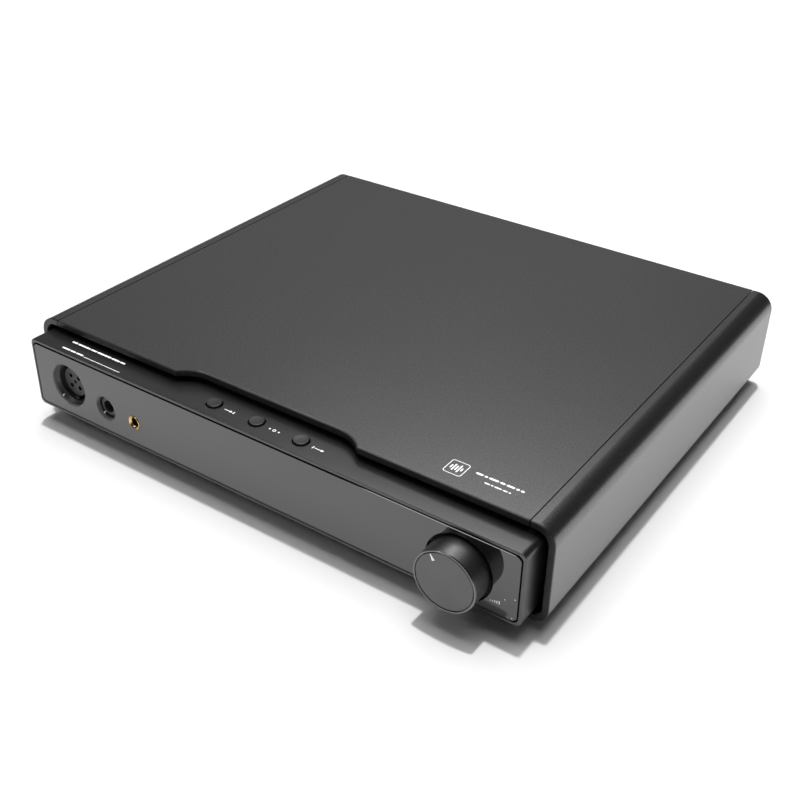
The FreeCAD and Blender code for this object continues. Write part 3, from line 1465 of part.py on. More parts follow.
def balanced_sockets():
    """Three-pin balanced output sockets: flanged shells, inserts at their back and pins."""
    shells = []
    pins = []
    for x, z in balanced_places():
        flange = centred_block("flange", x, REAR_FACE, z, size("{balanced_flange_x}"),
                               size("{balanced_flange}"), size("{balanced_flange_z}"))
        back = f"{REAR_FACE} + " + size("{balanced_flange}")
        start = f"{back} - " + size("{balanced_depth}")
        barrel = rod("barrel", "Y", x, start, z, size("{balanced_radius}"), size("{balanced_depth}"))
        bore = rod("bore", "Y", x, f"{start} + " + size("{balanced_floor}"), z, size("{balanced_bore}"),
                   size("{balanced_depth}"))
        holes = [rod("hole", "Y", screw_x, REAR_FACE, screw_z, size("{rear_screw_radius}"),
                     size("{balanced_flange}"))
                 for screw_x, screw_z in balanced_screw_places()]
        pin_seats = []
        for angle in (-30, 90, 210):
            pin_x = f"{x} + " + size("{balanced_pin_circle}") + f" * cos({angle})"
            pin_z = f"{z} + " + size("{balanced_pin_circle}") + f" * sin({angle})"
            length = size("{balanced_depth} - {balanced_pin_recess}")
            pins.append(rod("pin", "Y", pin_x, start, pin_z, size("{balanced_pin}"), length))
            pin_seats.append(rod("pin_seat", "Y", pin_x, start, pin_z, size("{balanced_pin}"), length))
        shells.append(remove("shell", join("shell_solid", flange, barrel), bore, *holes, *pin_seats))
    name_part(cluster("balanced_shells", *shells), "balanced_shells")
    name_part(cluster("balanced_pins", *pins), "balanced_pins")


def usb_socket():
    """Square digital input socket: steel shell and the tongue inside it."""
    x = size("{usb_x}")
    z = f"{BOARD_TOP} + " + size("{usb_height} / 2")
    mouth = f"{REAR_FACE} + " + size("{usb_proud}")
    start = f"{mouth} - " + size("{usb_depth}")
    shell = centred_block("shell", x, start, z, size("{usb_half}"), size("{usb_depth}"),
                          size("{usb_height} / 2"))
    well_depth = size("{usb_depth} - {wall}")
    well = centred_block("well", x, f"{start} + " + size("{wall}"), z, size("{usb_open}"), well_depth,
                         size("{usb_open} - 0.4"))
    name_part(remove("usb_shell", shell, well), "usb_shell")
    tongue = centred_block("usb_tongue", x, f"{start} + " + size("{wall}"), z, size("{usb_tongue_x}"),
                           f"{well_depth} - " + size("{usb_tongue_recess}"), size("{usb_tongue_z}"))
    name_part(tongue, "usb_tongue")


def optical_socket():
    """Optical input socket and the sprung shutter that closes it."""
    x = size("{optical_x}")
    z = f"{BOARD_TOP} + " + size("{optical_half}")
    mouth = f"{REAR_FACE} + " + size("{optical_proud}")
    start = f"{mouth} - " + size("{optical_depth}")
    half = size("{optical_half}")
    case = centred_block("case", x, start, z, half, size("{optical_depth}"), half)
    opening = centred_block("opening", x, f"{mouth} - " + size("{optical_well}"), z, size("{optical_open}"),
                            size("{optical_well}"), size("{optical_open_z}"))
    pin_z = f"{z} + " + size("{optical_open_z} + {shutter_pin} / 2")
    pin_y = f"{mouth} - " + size("{shutter_inset} + {shutter_pin} + 0.3")
    hinge_bore = rod("hinge_bore", "X", f"{x} - " + size("{optical_open} + 1"), pin_y, pin_z,
                     size("{shutter_pin} + 0.3"), size("2 * {optical_open} + 2"))
    attic = block(
        "attic", f"{x} - " + size("{optical_open}"),
        f"{mouth} - " + size("{optical_well}"), f"{z} + " + size("{optical_open_z}"),
        size("2 * {optical_open}"), size("{optical_well} - {shutter_inset}"),
        size("{shutter_pin} + 0.7"),
    )
    name_part(remove("optical_case", case, opening, hinge_bore, attic), "optical_case")
    flap_half = size("{optical_open} - 0.25")
    flap_low = f"{z} - " + size("{optical_open_z} - 0.25")
    flap = block("flap", f"{x} - {flap_half}", f"{pin_y} - " + size("{shutter_thickness} / 2"), flap_low,
                 f"2 * {flap_half}", size("{shutter_thickness}"), f"{pin_z} - ({flap_low})")
    barrel = rod("barrel", "X", f"{x} - " + size("{optical_open} + 0.7"), pin_y, pin_z, size("{shutter_pin}"),
                 size("2 * {optical_open} + 1.4"))
    name_part(join("optical_shutter", flap, barrel), "optical_shutter")


# ---- Inside ----

def main_board():
    """Main circuit board, its standoffs and the larger parts on it."""
    left = size("{board_left}")
    front = size("{board_front}")
    board = block(
        "main_board", left, front, size("{board_z}"), size("{board_right} - {board_left}"),
        size("{board_back} - {board_front}"), size("{board_thickness}"),
    )
    name_part(board, "main_board")
    standoffs = []
    for x in (size("{board_left} + {standoff_inset} + 6"), size("{board_right} - {standoff_inset}")):
        for y in (size("{board_front} + {standoff_inset}"), size("{board_back} - {standoff_inset}")):
            standoffs.append(hexagon("standoff", "Z", x, y, FLOOR, size("{standoff_radius}"),
                                     size("{board_z}") + f" - {FLOOR}"))
    name_part(cluster("board_standoffs", *standoffs), "board_standoffs")


def reservoir_capacitors():
    """Reservoir capacitors: turned cans with a rolled bead under the top."""
    cans = []
    radius = size("{capacitor_radius}")
    bead = size("{capacitor_bead}")
    for column in range(2):
        for rank in range(3):
            x = size("{capacitor_x}") + f" + {column} * " + size("{capacitor_pitch}")
            y = size("{capacitor_y}") + f" + {rank} * " + size("{capacitor_pitch}")
            can = rod("can", "Z", x, y, BOARD_TOP, radius, size("{capacitor_height}"))
            ring = doc.addObject("Part::Torus", "bead")
            bind(ring, Radius1=radius, Radius2=bead)
            place(ring, x, y, f"{BOARD_TOP} + " + size("{capacitor_height} - 4"))
            cans.append(remove("capacitor", can, ring))
    name_part(cluster("reservoir_capacitors", *cans), "reservoir_capacitors")


def regulator_heatsinks():
    """Finned heatsinks of the regulators and the output stage."""
    sinks = []
    fins = int(value(size("{heatsink_fins}")))
    for number in range(2):
        x = size("{heatsink_x}") + f" + {number} * " + size("{heatsink_pitch} * ({heatsink_fins} + 3)")
        y = size("{heatsink_y}")
        width = size("{heatsink_pitch} * ({heatsink_fins} - 1) + {heatsink_fin}")
        base = block("base", x, y, BOARD_TOP, width, size("{heatsink_length}"), size("{heatsink_fin} * 2"))
        blades = [
            block("fin", f"{x} + {step} * " + size("{heatsink_pitch}"), y, BOARD_TOP,
                  size("{heatsink_fin}"), size("{heatsink_length}"), size("{heatsink_height}"))
            for step in range(fins)
        ]
        sinks.append(join("heatsink", base, *blades))
    name_part(cluster("regulator_heatsinks", *sinks), "regulator_heatsinks")


def converter_shield():
    """Sheet shield over the converter chips: a box that is open below."""
    x = size("{shield_x}")
    y = size("{shield_y}")
    sheet = size("{shield_sheet}")
    outer = block("outer", x, y, BOARD_TOP, size("{shield_length}"), size("{shield_width}"),
                  size("{shield_height}"))
    inner = block("inner", f"{x} + {sheet}", f"{y} + {sheet}", BOARD_TOP,
                  size("{shield_length} - 2 * {shield_sheet}"), size("{shield_width} - 2 * {shield_sheet}"),
                  size("{shield_height} - {shield_sheet}"))
    name_part(remove("converter_shield", outer, inner), "converter_shield")


def output_relays():
    """Relays that mute the outputs while the unit warms up."""
    relays = [
        block("relay", size("{relay_x}") + f" + {step} * " + size("{relay_pitch}"), size("{relay_y}"),
              BOARD_TOP, size("{relay_width}"), size("{relay_length}"), size("{relay_height}"))
        for step in range(2)
    ]
    name_part(cluster("output_relays", *relays), "output_relays")


def mains_transformer():
    """Toroidal transformer on the base plate, and the bolt with a wide washer that clamps it."""
    x = size("{toroid_x}")
    y = size("{toroid_y}")
    body = new_body("mains_transformer")
    place(body, x, y, FLOOR)
    profile = new_sketch(body, "winding_section", "XZ")
    add_rectangle(profile, size("{toroid_inner}"), size("{toroid_outer}"), ZERO, size("{toroid_height}"))
    add_revolution(body, profile, "winding")
    round_edges = [
        f"Edge{index}" for index, edge in enumerate(body.Shape.Edges, start=1)
        if isinstance(edge.Curve, Part.Circle)
    ]
    add_fillet(body, "rounded_winding", round_edges, size("{toroid_round}"))
    name_part(body, "mains_transformer")
    plate_z = f"{FLOOR} + " + size("{toroid_height}")
    head_z = f"{plate_z} + " + size("{toroid_plate}")
    shank_length = f"{head_z} - " + size("{case_base}")
    clamp = join(
        "transformer_clamp",
        rod("plate", "Z", x, y, plate_z, size("{toroid_washer}"), size("{toroid_plate}")),
        rod("shank", "Z", x, y, size("{case_base}"), size("{toroid_bolt}"), shank_length),
        hexagon("head", "Z", x, y, head_z, size("{toroid_bolt} * 2"), size("{toroid_bolt}")),
    )
    name_part(clamp, "transformer_clamp")


def ribbon_cable():
    """Flat ribbon from the button board through the bulkhead down to the main board."""
    body = new_body("ribbon_cable")
    half = size("{ribbon_width} / 2")
    thick = size("{ribbon_thickness}")
    front = f"{FASCIA_BACK} - " + size("{ribbon_lap}")
    level = f"{SKIRT_FOOT} - " + size(
        "{button_travel} + {button_clearance} + {switch_height} - {ribbon_thickness}")
    drop = size("{board_front} + {ribbon_lap}")
    side = new_sketch(body, "side_view", "YZ", size("{ribbon_x}") + f" - {half}")
    add_polygon(side, [
        (front, level), (f"{drop} + {thick}", level), (f"{drop} + {thick}", BOARD_TOP),
        (drop, BOARD_TOP), (drop, f"{level} - {thick}"), (front, f"{level} - {thick}"),
    ])
    add_pad(body, side, "ribbon", size("{ribbon_width}"), "YZ")
    name_part(body, "ribbon_cable")


def build():
    """Make every sub-part in the order in which the unit goes together."""
    side_panel("side_panel_left", -1)
    side_panel("side_panel_right", 1)
    base_plate()
    top_plate()
    feet_and_screws()
    base_screws()
    bulkhead()
    fascia_frame()
    gloss_panel()
    display_module()
    balanced_headphone_socket()
    full_size_jack()
    small_jack()
    socket_board()
    buttons_and_switches()
    volume_knob()
    knob_face()
    knob_set_screw()
    volume_potentiometer()
    rear_panel()
    rear_fasteners()
    mains_inlet()
    power_rocker()
    phono_sockets()
    balanced_sockets()
    usb_socket()
    optical_socket()
    main_board()
    reservoir_capacitors()
    regulator_heatsinks()
    converter_shield()
    output_relays()
    mains_transformer()
    ribbon_cable()


def check_document():
    """Stop if any object failed or any sub-part has no sound shape."""
    for item in doc.Objects:
        if "Invalid" in item.State or "Error" in item.State:
            raise RuntimeError(f"{item.Label} did not recompute: {item.State}")
    for part in SUB_PARTS:
        if part.Shape.isNull() or not part.Shape.isValid():
            raise RuntimeError(f"{part.Label} has no valid shape")


def write_parts():
    """Write each sub-part to its own STEP file."""
    os.makedirs("parts", exist_ok=True)
    for part in SUB_PARTS:
        part.Shape.exportStep(f"parts/{part.Label}.step")
        box = part.Shape.BoundBox
        print(f"{part.Label}: {len(part.Shape.Solids)} solids, {part.Shape.Volume:.1f} mm3, "
              f"x {box.XMin:.2f}..{box.XMax:.2f} y {box.YMin:.2f}..{box.YMax:.2f} "
              f"z {box.ZMin:.2f}..{box.ZMax:.2f}")


build()
doc.recompute()
check_document()
write_parts()
print(len(SUB_PARTS), "sub-parts")
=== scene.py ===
"""Looks of a desktop headphone DAC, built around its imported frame.

The frame's axes are +X to the listener's right, +Y from the front to the back and +Z up.
Sizes in the classes below are millimetres; a mesh is scaled to the scene's metres when it is made.
"""
import json
import logging
import math
import random
from dataclasses import dataclass, field
from enum import Enum
from typing import Sequence

import bmesh
import bpy
from mathutils import Matrix, Vector

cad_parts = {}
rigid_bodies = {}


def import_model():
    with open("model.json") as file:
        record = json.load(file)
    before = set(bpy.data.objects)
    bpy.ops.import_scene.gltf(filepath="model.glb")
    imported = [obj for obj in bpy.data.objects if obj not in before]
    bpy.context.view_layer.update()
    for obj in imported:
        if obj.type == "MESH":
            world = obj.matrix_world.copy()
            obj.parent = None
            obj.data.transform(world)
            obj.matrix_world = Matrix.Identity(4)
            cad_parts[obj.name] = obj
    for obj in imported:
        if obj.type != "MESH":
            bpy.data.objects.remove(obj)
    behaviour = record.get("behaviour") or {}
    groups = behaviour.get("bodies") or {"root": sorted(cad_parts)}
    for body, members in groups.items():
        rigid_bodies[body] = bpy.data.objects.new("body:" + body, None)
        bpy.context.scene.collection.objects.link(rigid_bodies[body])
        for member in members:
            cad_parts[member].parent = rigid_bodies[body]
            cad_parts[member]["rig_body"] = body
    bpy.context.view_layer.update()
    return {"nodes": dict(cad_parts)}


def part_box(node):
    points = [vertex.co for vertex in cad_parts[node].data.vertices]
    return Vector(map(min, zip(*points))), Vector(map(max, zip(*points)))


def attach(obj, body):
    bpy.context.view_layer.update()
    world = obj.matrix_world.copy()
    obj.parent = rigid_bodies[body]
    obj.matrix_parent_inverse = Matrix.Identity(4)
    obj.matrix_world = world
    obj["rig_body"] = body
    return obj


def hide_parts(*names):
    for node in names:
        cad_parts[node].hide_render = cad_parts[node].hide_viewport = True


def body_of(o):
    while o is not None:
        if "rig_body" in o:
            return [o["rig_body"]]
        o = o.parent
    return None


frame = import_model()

MM = 0.001
LOG = logging.getLogger("desktop_dac")
SHARP_EDGE = math.radians(25)
BEVEL_ANGLE = math.radians(50)
SAME_PLANE = math.radians(0.2)
WELD = 0.0005

Colour = tuple[float, float, float]
Loop = list[Vector]
Shape = list[Loop]


# ---- Where things are ----

class Facing(Enum):
    """Direction that a cut or turned piece faces, as its own x, its own y and its outward axis."""

    UP = ((1, 0, 0), (0, 1, 0), (0, 0, 1))
    DOWN = ((1, 0, 0), (0, -1, 0), (0, 0, -1))
    FRONT = ((1, 0, 0), (0, 0, 1), (0, -1, 0))
    BACK = ((-1, 0, 0), (0, 0, 1), (0, 1, 0))

    def placed_at(self, origin: Vector) -> Matrix:
        """Matrix from the piece's own axes in millimetres to the frame in metres.

        Args:
            origin: The piece's own origin in the frame, in millimetres.

        Returns:
            The placement, with the change of unit in it.
        """
        turn = Matrix([Vector(axis) for axis in self.value]).transposed().to_4x4()
        return Matrix.Scale(MM, 4) @ Matrix.Translation(origin) @ turn

    @property
    def outward(self) -> Vector:
        """The unit vector that the piece faces along."""
        return Vector(self.value[2])


@dataclass(frozen=True)
class Extent:
    """Box of one or more CAD nodes, in millimetres."""

    low: Vector
    high: Vector

    @classmethod
    def of(cls, node: str) -> "Extent":
        """The box of a CAD node at rest."""
        low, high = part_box(node)
        return cls(low / MM, high / MM)

    @property
    def centre(self) -> Vector:
        """The middle of the box."""
        return (self.low + self.high) / 2

    @property
    def size(self) -> Vector:
        """The box's length along each axis."""
        return self.high - self.low


# ---- Outlines ----

@dataclass(frozen=True)
class Corner:
    """One corner of an outline, sharp or rounded."""

    x: float
    y: float
    radius: float = 0.0


ARC_STEP = math.radians(6)
FINE_ARC_STEP = math.radians(4)


def points(*pairs: tuple[float, float]) -> Loop:
    """Points of an outline or a profile, from plain pairs of millimetres."""
    return [Vector(pair) for pair in pairs]


def arc(centre: Vector, radius: float, start: float, end: float, step: float = ARC_STEP) -> Loop:
    """Points along an arc, both ends included.

    Args:
        centre: Middle of the arc.
        radius: Radius of the arc.
        start: Angle of the first point, in radians.
        end: Angle of the last point; below start, the arc runs clockwise.
        step: Largest angle between two points.

    Returns:
        The points in order.
    """
    count = max(1, math.ceil(abs(end - start) / step))
    angles = [start + (end - start) * i / count for i in range(count + 1)]
    return [centre + radius * Vector((math.cos(a), math.sin(a))) for a in angles]


def circle(x: float, y: float, radius: float, count: int = 72) -> Loop:
    """Points of a whole circle, without a repeat of the first."""
    return arc(Vector((x, y)), radius, 0.0, math.tau, math.tau / count)[:-1]


def rounded(corners: Sequence[Corner], step: float = ARC_STEP) -> Loop:
    """Points of a closed outline whose corners are rounded by tangent arcs.

    Args:
        corners: The corners in order round the outline.
        step: Largest angle between two points of an arc.

    Returns:
        The points of the outline, in the same direction.
    """
    outline: Loop = []
    for index, corner in enumerate(corners):
        here = Vector((corner.x, corner.y))
        if corner.radius <= 0:
            outline.append(here)
            continue
        before = corners[index - 1]
        after = corners[(index + 1) % len(corners)]
        back = (Vector((before.x, before.y)) - here).normalized()
        ahead = (Vector((after.x, after.y)) - here).normalized()
        half = back.angle(ahead) / 2
        middle = here + (back + ahead).normalized() * corner.radius / math.sin(half)
        first = here + back * corner.radius / math.tan(half) - middle
        last = here + ahead * corner.radius / math.tan(half) - middle
        start = math.atan2(first.y, first.x)
        sweep = (math.atan2(last.y, last.x) - start + math.pi) % math.tau - math.pi
        outline += arc(middle, corner.radius, start, start + sweep, step)
    return outline


def box_outline(low: Vector, high: Vector, radius: float = 0.0) -> Loop:
    """Points of an upright rectangle with equal corner radii.

    Args:
        low: The lower left corner.
        high: The upper right corner.
        radius: Radius of all four corners.

    Returns:
        The points, anticlockwise.
    """
    return rounded([
        Corner(low.x, low.y, radius), Corner(high.x, low.y, radius),
        Corner(high.x, high.y, radius), Corner(low.x, high.y, radius),
    ])


def slot_outline(x: float, y: float, half_length: float, half_width: float) -> Loop:
    """Points of a slot with round ends that lies along its own x.

    Args:
        x: Middle of the slot along x.
        y: Middle of the slot along y.
        half_length: From its middle to its tip.
        half_width: Radius of its ends.

    Returns:
        The points, anticlockwise.
    """
    right = arc(Vector((x + half_length - half_width, y)), half_width, -math.pi / 2, math.pi / 2)
    left = arc(Vector((x - half_length + half_width, y)), half_width, math.pi / 2, 3 * math.pi / 2)
    return right + left


# ---- Making meshes ----

def finished(mesh: bpy.types.Mesh, name: str) -> bpy.types.Object:
    """Shades a mesh smooth up to its sharp edges and links an object that shows it.

    Args:
        mesh: The mesh, in the frame's metres.
        name: The piece's name.

    Returns:
        The new object, at the frame's origin.
    """
    mesh.name = name
    mesh.shade_smooth()
    mesh.set_sharp_from_angle(angle=SHARP_EDGE)
    piece = bpy.data.objects.new(name, mesh)
    flat_first = piece.modifiers.new("flat_faces_first", "WEIGHTED_NORMAL")
    flat_first.keep_sharp = True
    bpy.context.scene.collection.objects.link(piece)
    return piece


def mesh_from(build: bmesh.types.BMesh, placement: Matrix) -> bpy.types.Mesh:
    """Welds, orients and places an edit mesh and writes it out.

    Args:
        build: The edit mesh in millimetres; it is freed.
        placement: Matrix from its own axes to the frame.

    Returns:
        The mesh in the frame's metres.
    """
    bmesh.ops.remove_doubles(build, verts=build.verts, dist=WELD)
    bmesh.ops.recalc_face_normals(build, faces=build.faces)
    bmesh.ops.transform(build, matrix=placement, verts=build.verts)
    mesh = bpy.data.meshes.new("made")
    build.to_mesh(mesh)
    build.free()
    return mesh


@dataclass
class SheetCut:
    """A piece cut from flat stock: an outline with holes, a thickness and softened rims."""

    outline: Loop
    thickness: float
    holes: list[Loop] = field(default_factory=list)
    rim: float = 0.2
    rim_steps: int = 2

    def solid(self) -> bmesh.types.BMesh:
        """Fills the outline, less its holes, and gives it its thickness and rims.

        Returns:
            The piece as an edit mesh, from its own z 0 down to minus its thickness.
        """
        curve = bpy.data.curves.new("cut", "CURVE")
        curve.dimensions = "2D"
        curve.fill_mode = "BOTH"
        for loop in [self.outline, *self.holes]:
            spline = curve.splines.new("POLY")
            spline.points.add(len(loop) - 1)
            for spot, point in zip(spline.points, loop):
                spot.co = (point.x, point.y, 0.0, 1.0)
            spline.use_cyclic_u = True
        curve.extrude = self.thickness / 2 - self.rim
        curve.bevel_depth = self.rim
        curve.bevel_resolution = self.rim_steps
        curve.offset = -self.rim
        carrier = bpy.data.objects.new("cut", curve)
        mesh = bpy.data.meshes.new_from_object(carrier)
        build = bmesh.new()
        build.from_mesh(mesh)
        bmesh.ops.remove_doubles(build, verts=build.verts, dist=WELD)
        bmesh.ops.dissolve_limit(build, angle_limit=SAME_PLANE, verts=build.verts, edges=build.edges)
        bmesh.ops.translate(build, vec=(0, 0, -self.thickness / 2), verts=build.verts)
        bpy.data.objects.remove(carrier)
        bpy.data.curves.remove(curve)
        bpy.data.meshes.remove(mesh)
        return build

    def piece(self, name: str, facing: Facing, origin: Vector) -> bpy.types.Object:
        """Makes the piece with its outward face through an origin.

        Args:
            name: The piece's name.
            facing: The way its outward face looks.
            origin: Where the outline's own origin lies, on the outward face.

        Returns:
            The new object.
        """
        return finished(mesh_from(self.solid(), facing.placed_at(origin)), name)


@dataclass
class Turned:
    """A piece turned on a lathe: a profile of (radius, height along the axis) points."""

    profile: Loop
    segments: int = 96
    closed: bool = False

    def add_to(self, build: bmesh.types.BMesh, placement: Matrix) -> None:
        """Adds the turned solid to an edit mesh.

        Args:
            build: The edit mesh, in millimetres.
            placement: Matrix from the lathe's axes, with the axis along z.
        """
        rings = []
        for point in self.profile:
            count = 1 if point.x < 1e-6 else self.segments
            angles = [math.tau * i / self.segments for i in range(count)]
            rings.append([
                build.verts.new(placement @ Vector((point.x * math.cos(a), point.x * math.sin(a), point.y)))
                for a in angles
            ])
        pairs = list(zip(rings, rings[1:]))
        if self.closed:
            pairs.append((rings[-1], rings[0]))
        for low, high in pairs:
            for i in range(self.segments):
                j = (i + 1) % self.segments
                corners = [low[i % len(low)], low[j % len(low)], high[j % len(high)], high[i % len(high)]]
                unique = list(dict.fromkeys(corners))
                if len(unique) > 2:
                    build.faces.new(unique)

    def piece(self, name: str, facing: Facing, *origins: Vector) -> bpy.types.Object:
        """Makes one turned solid at each origin, as one piece.

        Args:
            name: The piece's name.
            facing: The way its axis points.
            origins: Where the profile's height 0 lies on each axis.

        Returns:
            The new object.
        """
        build = bmesh.new()
        for origin in origins:
            turn = facing.placed_at(Vector(origin))
            self.add_to(build, Matrix.Scale(1 / MM, 4) @ turn)
        return finished(mesh_from(build, Matrix.Scale(MM, 4)), name)


def together(name: str, pieces: Sequence[bpy.types.Object]) -> bpy.types.Object:
    """Joins pieces that share a finish into one object.

    Args:
        name: The joined piece's name.
        pieces: The pieces, which are used up.

    Returns:
        The joined object.
    """
    build = bmesh.new()
    for piece in pieces:
        build.from_mesh(piece.data)
        bpy.data.objects.remove(piece)
    mesh = bpy.data.meshes.new("made")
    build.to_mesh(mesh)
    build.free()
    return finished(mesh, name)


def blocks(name: str, boxes: Sequence[tuple[Vector, Vector]], edge: float = 0.08) -> bpy.types.Object:
    """Makes small blocks with broken edges as one piece.

    Args:
        name: The piece's name.
        boxes: Low and high corner of each block, in millimetres.
        edge: Width of the broken edges.

    Returns:
        The new object.
    """
    build = bmesh.new()
    for low, high in boxes:
        middle = Matrix.Translation((low + high) / 2)
        spread = Matrix.Diagonal((*(high - low), 1.0))
        bmesh.ops.create_cube(build, size=1.0, matrix=middle @ spread)
    bmesh.ops.bevel(build, geom=build.edges[:], offset=edge, segments=1, affect="EDGES")
    return finished(mesh_from(build, Matrix.Scale(MM, 4)), name)


# ---- Finishes ----

NOISE_REACH = (0.3, 0.7)


class Recipe:
    """Shader tree of one finish, with short calls for the nodes that finishes share."""

    def __init__(self, name: str, colour: Colour, roughness: float, metallic: float = 0.0) -> None:
        """Starts a material with plain values on its shader.

        Args:
            name: The material's name.
            colour: Base colour of the shader.
            roughness: Roughness of the shader.
            metallic: 1 for bare metal, 0 for anything else; between them for an oxide on metal.
        """
        self.material = bpy.data.materials.new(name)
        self.material.use_nodes = True
        self.tree = self.material.node_tree
        self.tree.nodes.clear()
        self.shader = self.tree.nodes.new("ShaderNodeBsdfPrincipled")
        output = self.tree.nodes.new("ShaderNodeOutputMaterial")
        self.tree.links.new(self.shader.outputs["BSDF"], output.inputs["Surface"])
        self.set("Base Color", (*colour, 1.0))
        self.set("Roughness", roughness)
        self.set("Metallic", metallic)
        self.place = self.tree.nodes.new("ShaderNodeTexCoord").outputs["Object"]
        self.relief: bpy.types.NodeSocket | None = None

    def set(self, socket: str, value: float | tuple) -> None:
        """Sets a plain value on the shader's own socket."""
        self.shader.inputs[socket].default_value = value

    def add(self, kind: str, inputs: dict[str | int, object], **settings: object) -> bpy.types.Node:
        """Adds a node, with its settings and its inputs as values or links.

        Args:
            kind: The node's type.
            inputs: Values or output sockets, by input name or number.
            settings: Properties of the node.

        Returns:
            The node.
        """
        node = self.tree.nodes.new(kind)
        for key, value in settings.items():
            setattr(node, key, value)
        for key, value in inputs.items():
            if isinstance(value, bpy.types.NodeSocket):
                self.tree.links.new(value, node.inputs[key])
            else:
                node.inputs[key].default_value = value
        return node

    def stretched(self, x: float, y: float, z: float) -> bpy.types.NodeSocket:
        """Coordinates that run at another rate along each axis; below 1, features grow longer."""
        node = self.add("ShaderNodeMapping", {"Vector": self.place, "Scale": (x, y, z)})
        return node.outputs["Vector"]

    def noise(self, grain: float, detail: float = 2.0, place: bpy.types.NodeSocket | None = None
              ) -> bpy.types.NodeSocket:
        """Soft noise with features about as large as a grain.

        Args:
            grain: Size of a feature, in millimetres.
            detail: How many finer layers it holds.
            place: Coordinates, or None for the object's own.

        Returns:
            The value, around 0.5.
        """
        inputs = {"Vector": place or self.place, "Scale": 1 / (grain * MM), "Detail": detail}
        return self.add("ShaderNodeTexNoise", inputs).outputs["Fac"]

    def ramp(self, value: bpy.types.NodeSocket, low: float, high: float, start: float = 0.0,
             end: float = 1.0) -> bpy.types.NodeSocket:
        """Maps low..high to start..end, held at the ends.

        Args:
            value: The value to map.
            low: Where the result is start.
            high: Where the result is end.
            start: The result up to low.
            end: The result from high on.

        Returns:
            The mapped value.
        """
        inputs = {"Value": value, "From Min": low, "From Max": high, "To Min": start, "To Max": end}
        return self.add("ShaderNodeMapRange", inputs).outputs["Result"]

    def mixed(self, share: bpy.types.NodeSocket, first: Colour, second: Colour) -> bpy.types.NodeSocket:
        """A colour that goes from first at share 0 to second at share 1."""
        inputs = {0: share, 6: (*first, 1.0), 7: (*second, 1.0)}
        return self.add("ShaderNodeMix", inputs, data_type="RGBA").outputs[2]

    def spread(self, noise: bpy.types.NodeSocket) -> bpy.types.NodeSocket:
        """Noise stretched to run from 0 to 1."""
        return self.ramp(noise, *NOISE_REACH)

    def tint(self, share: bpy.types.NodeSocket, first: Colour, second: Colour) -> None:
        """Colours the surface from first to second by a share."""
        self.tree.links.new(self.mixed(share, first, second), self.shader.inputs["Base Color"])

    def gloss(self, value: bpy.types.NodeSocket, smooth: float, rough: float) -> None:
        """Drives the roughness from smooth to rough by noise."""
        result = self.ramp(value, *NOISE_REACH, smooth, rough)
        self.tree.links.new(result, self.shader.inputs["Roughness"])

    def bump(self, height: bpy.types.NodeSocket, depth: float, strength: float = 1.0) -> None:
        """Adds relief to the surface, over any relief that it has.

        Args:
            height: The relief, from 0 to 1.
            depth: Height of the relief, in millimetres.
            strength: Share of it that shows.
        """
        inputs = {"Height": height, "Distance": depth * MM, "Strength": strength}
        if self.relief is not None:
            inputs["Normal"] = self.relief
        self.relief = self.add("ShaderNodeBump", inputs).outputs["Normal"]
        self.tree.links.new(self.relief, self.shader.inputs["Normal"])


@dataclass(frozen=True)
class Finish:
    """A surface finish: what it is made of and how it is worked."""

    name: str
    slot: str
    colour: Colour
    roughness: float

    def recipe(self) -> Recipe:
        """The shader tree of this finish."""
        return Recipe(self.name, self.colour, self.roughness)

    def material(self) -> bpy.types.Material:
        """The finish's material, made the first time it is asked for."""
        found = bpy.data.materials.get(self.name)
        return found if found is not None and found.get("dac_finish") else self._make()

    def _make(self) -> bpy.types.Material:
        """Makes the material and marks it as this script's own.

        Returns:
            The new material.
        """
        made = self.recipe().material
        made.name = self.name
        made["dac_finish"] = True
        return made


def darker(colour: Colour, share: float) -> Colour:
    """A colour at a share of its brightness."""
    return (colour[0] * share, colour[1] * share, colour[2] * share)


@dataclass(frozen=True)
class BlastedMetal(Finish):
    """Bead-blasted and anodised aluminium: fine craters and a soft sheen."""

    grain: float = 0.22
    depth: float = 0.012
    variation: float = 0.08
    metallic: float = 0.97

    def recipe(self) -> Recipe:
        """Craters in two sizes, with the tone and the roughness following them.

        Returns:
            The shader tree.
        """
        sheet = Recipe(self.name, self.colour, self.roughness, metallic=self.metallic)
        craters = sheet.noise(self.grain, 3.0)
        clouds = sheet.noise(70.0, 1.0)
        specks = sheet.noise(self.grain * 3.2, 1.0)
        sheet.tint(sheet.spread(specks), darker(self.colour, 1 - self.variation),
                   darker(self.colour, 1 + self.variation))
        sheet.gloss(clouds, self.roughness - 0.006, self.roughness + 0.006)
        sheet.bump(craters, self.depth)
        sheet.bump(specks, self.depth * 0.8, 0.6)
        return sheet


@dataclass(frozen=True)
class BrushedMetal(Finish):
    """Metal with fine lines turned or drawn into it."""

    line: float = 0.05
    stretch: tuple[float, float, float] = (1.0, 1.0, 0.02)
    depth: float = 0.002

    def recipe(self) -> Recipe:
        """Lines stretched along the way that the metal was worked.

        Returns:
            The shader tree.
        """
        sheet = Recipe(self.name, self.colour, self.roughness, metallic=1.0)
        lines = sheet.noise(self.line, 2.0, sheet.stretched(*self.stretch))
        sheet.gloss(lines, self.roughness * 0.8, self.roughness * 1.25)
        sheet.tint(sheet.spread(lines), darker(self.colour, 0.94), darker(self.colour, 1.04))
        sheet.bump(lines, self.depth)
        return sheet


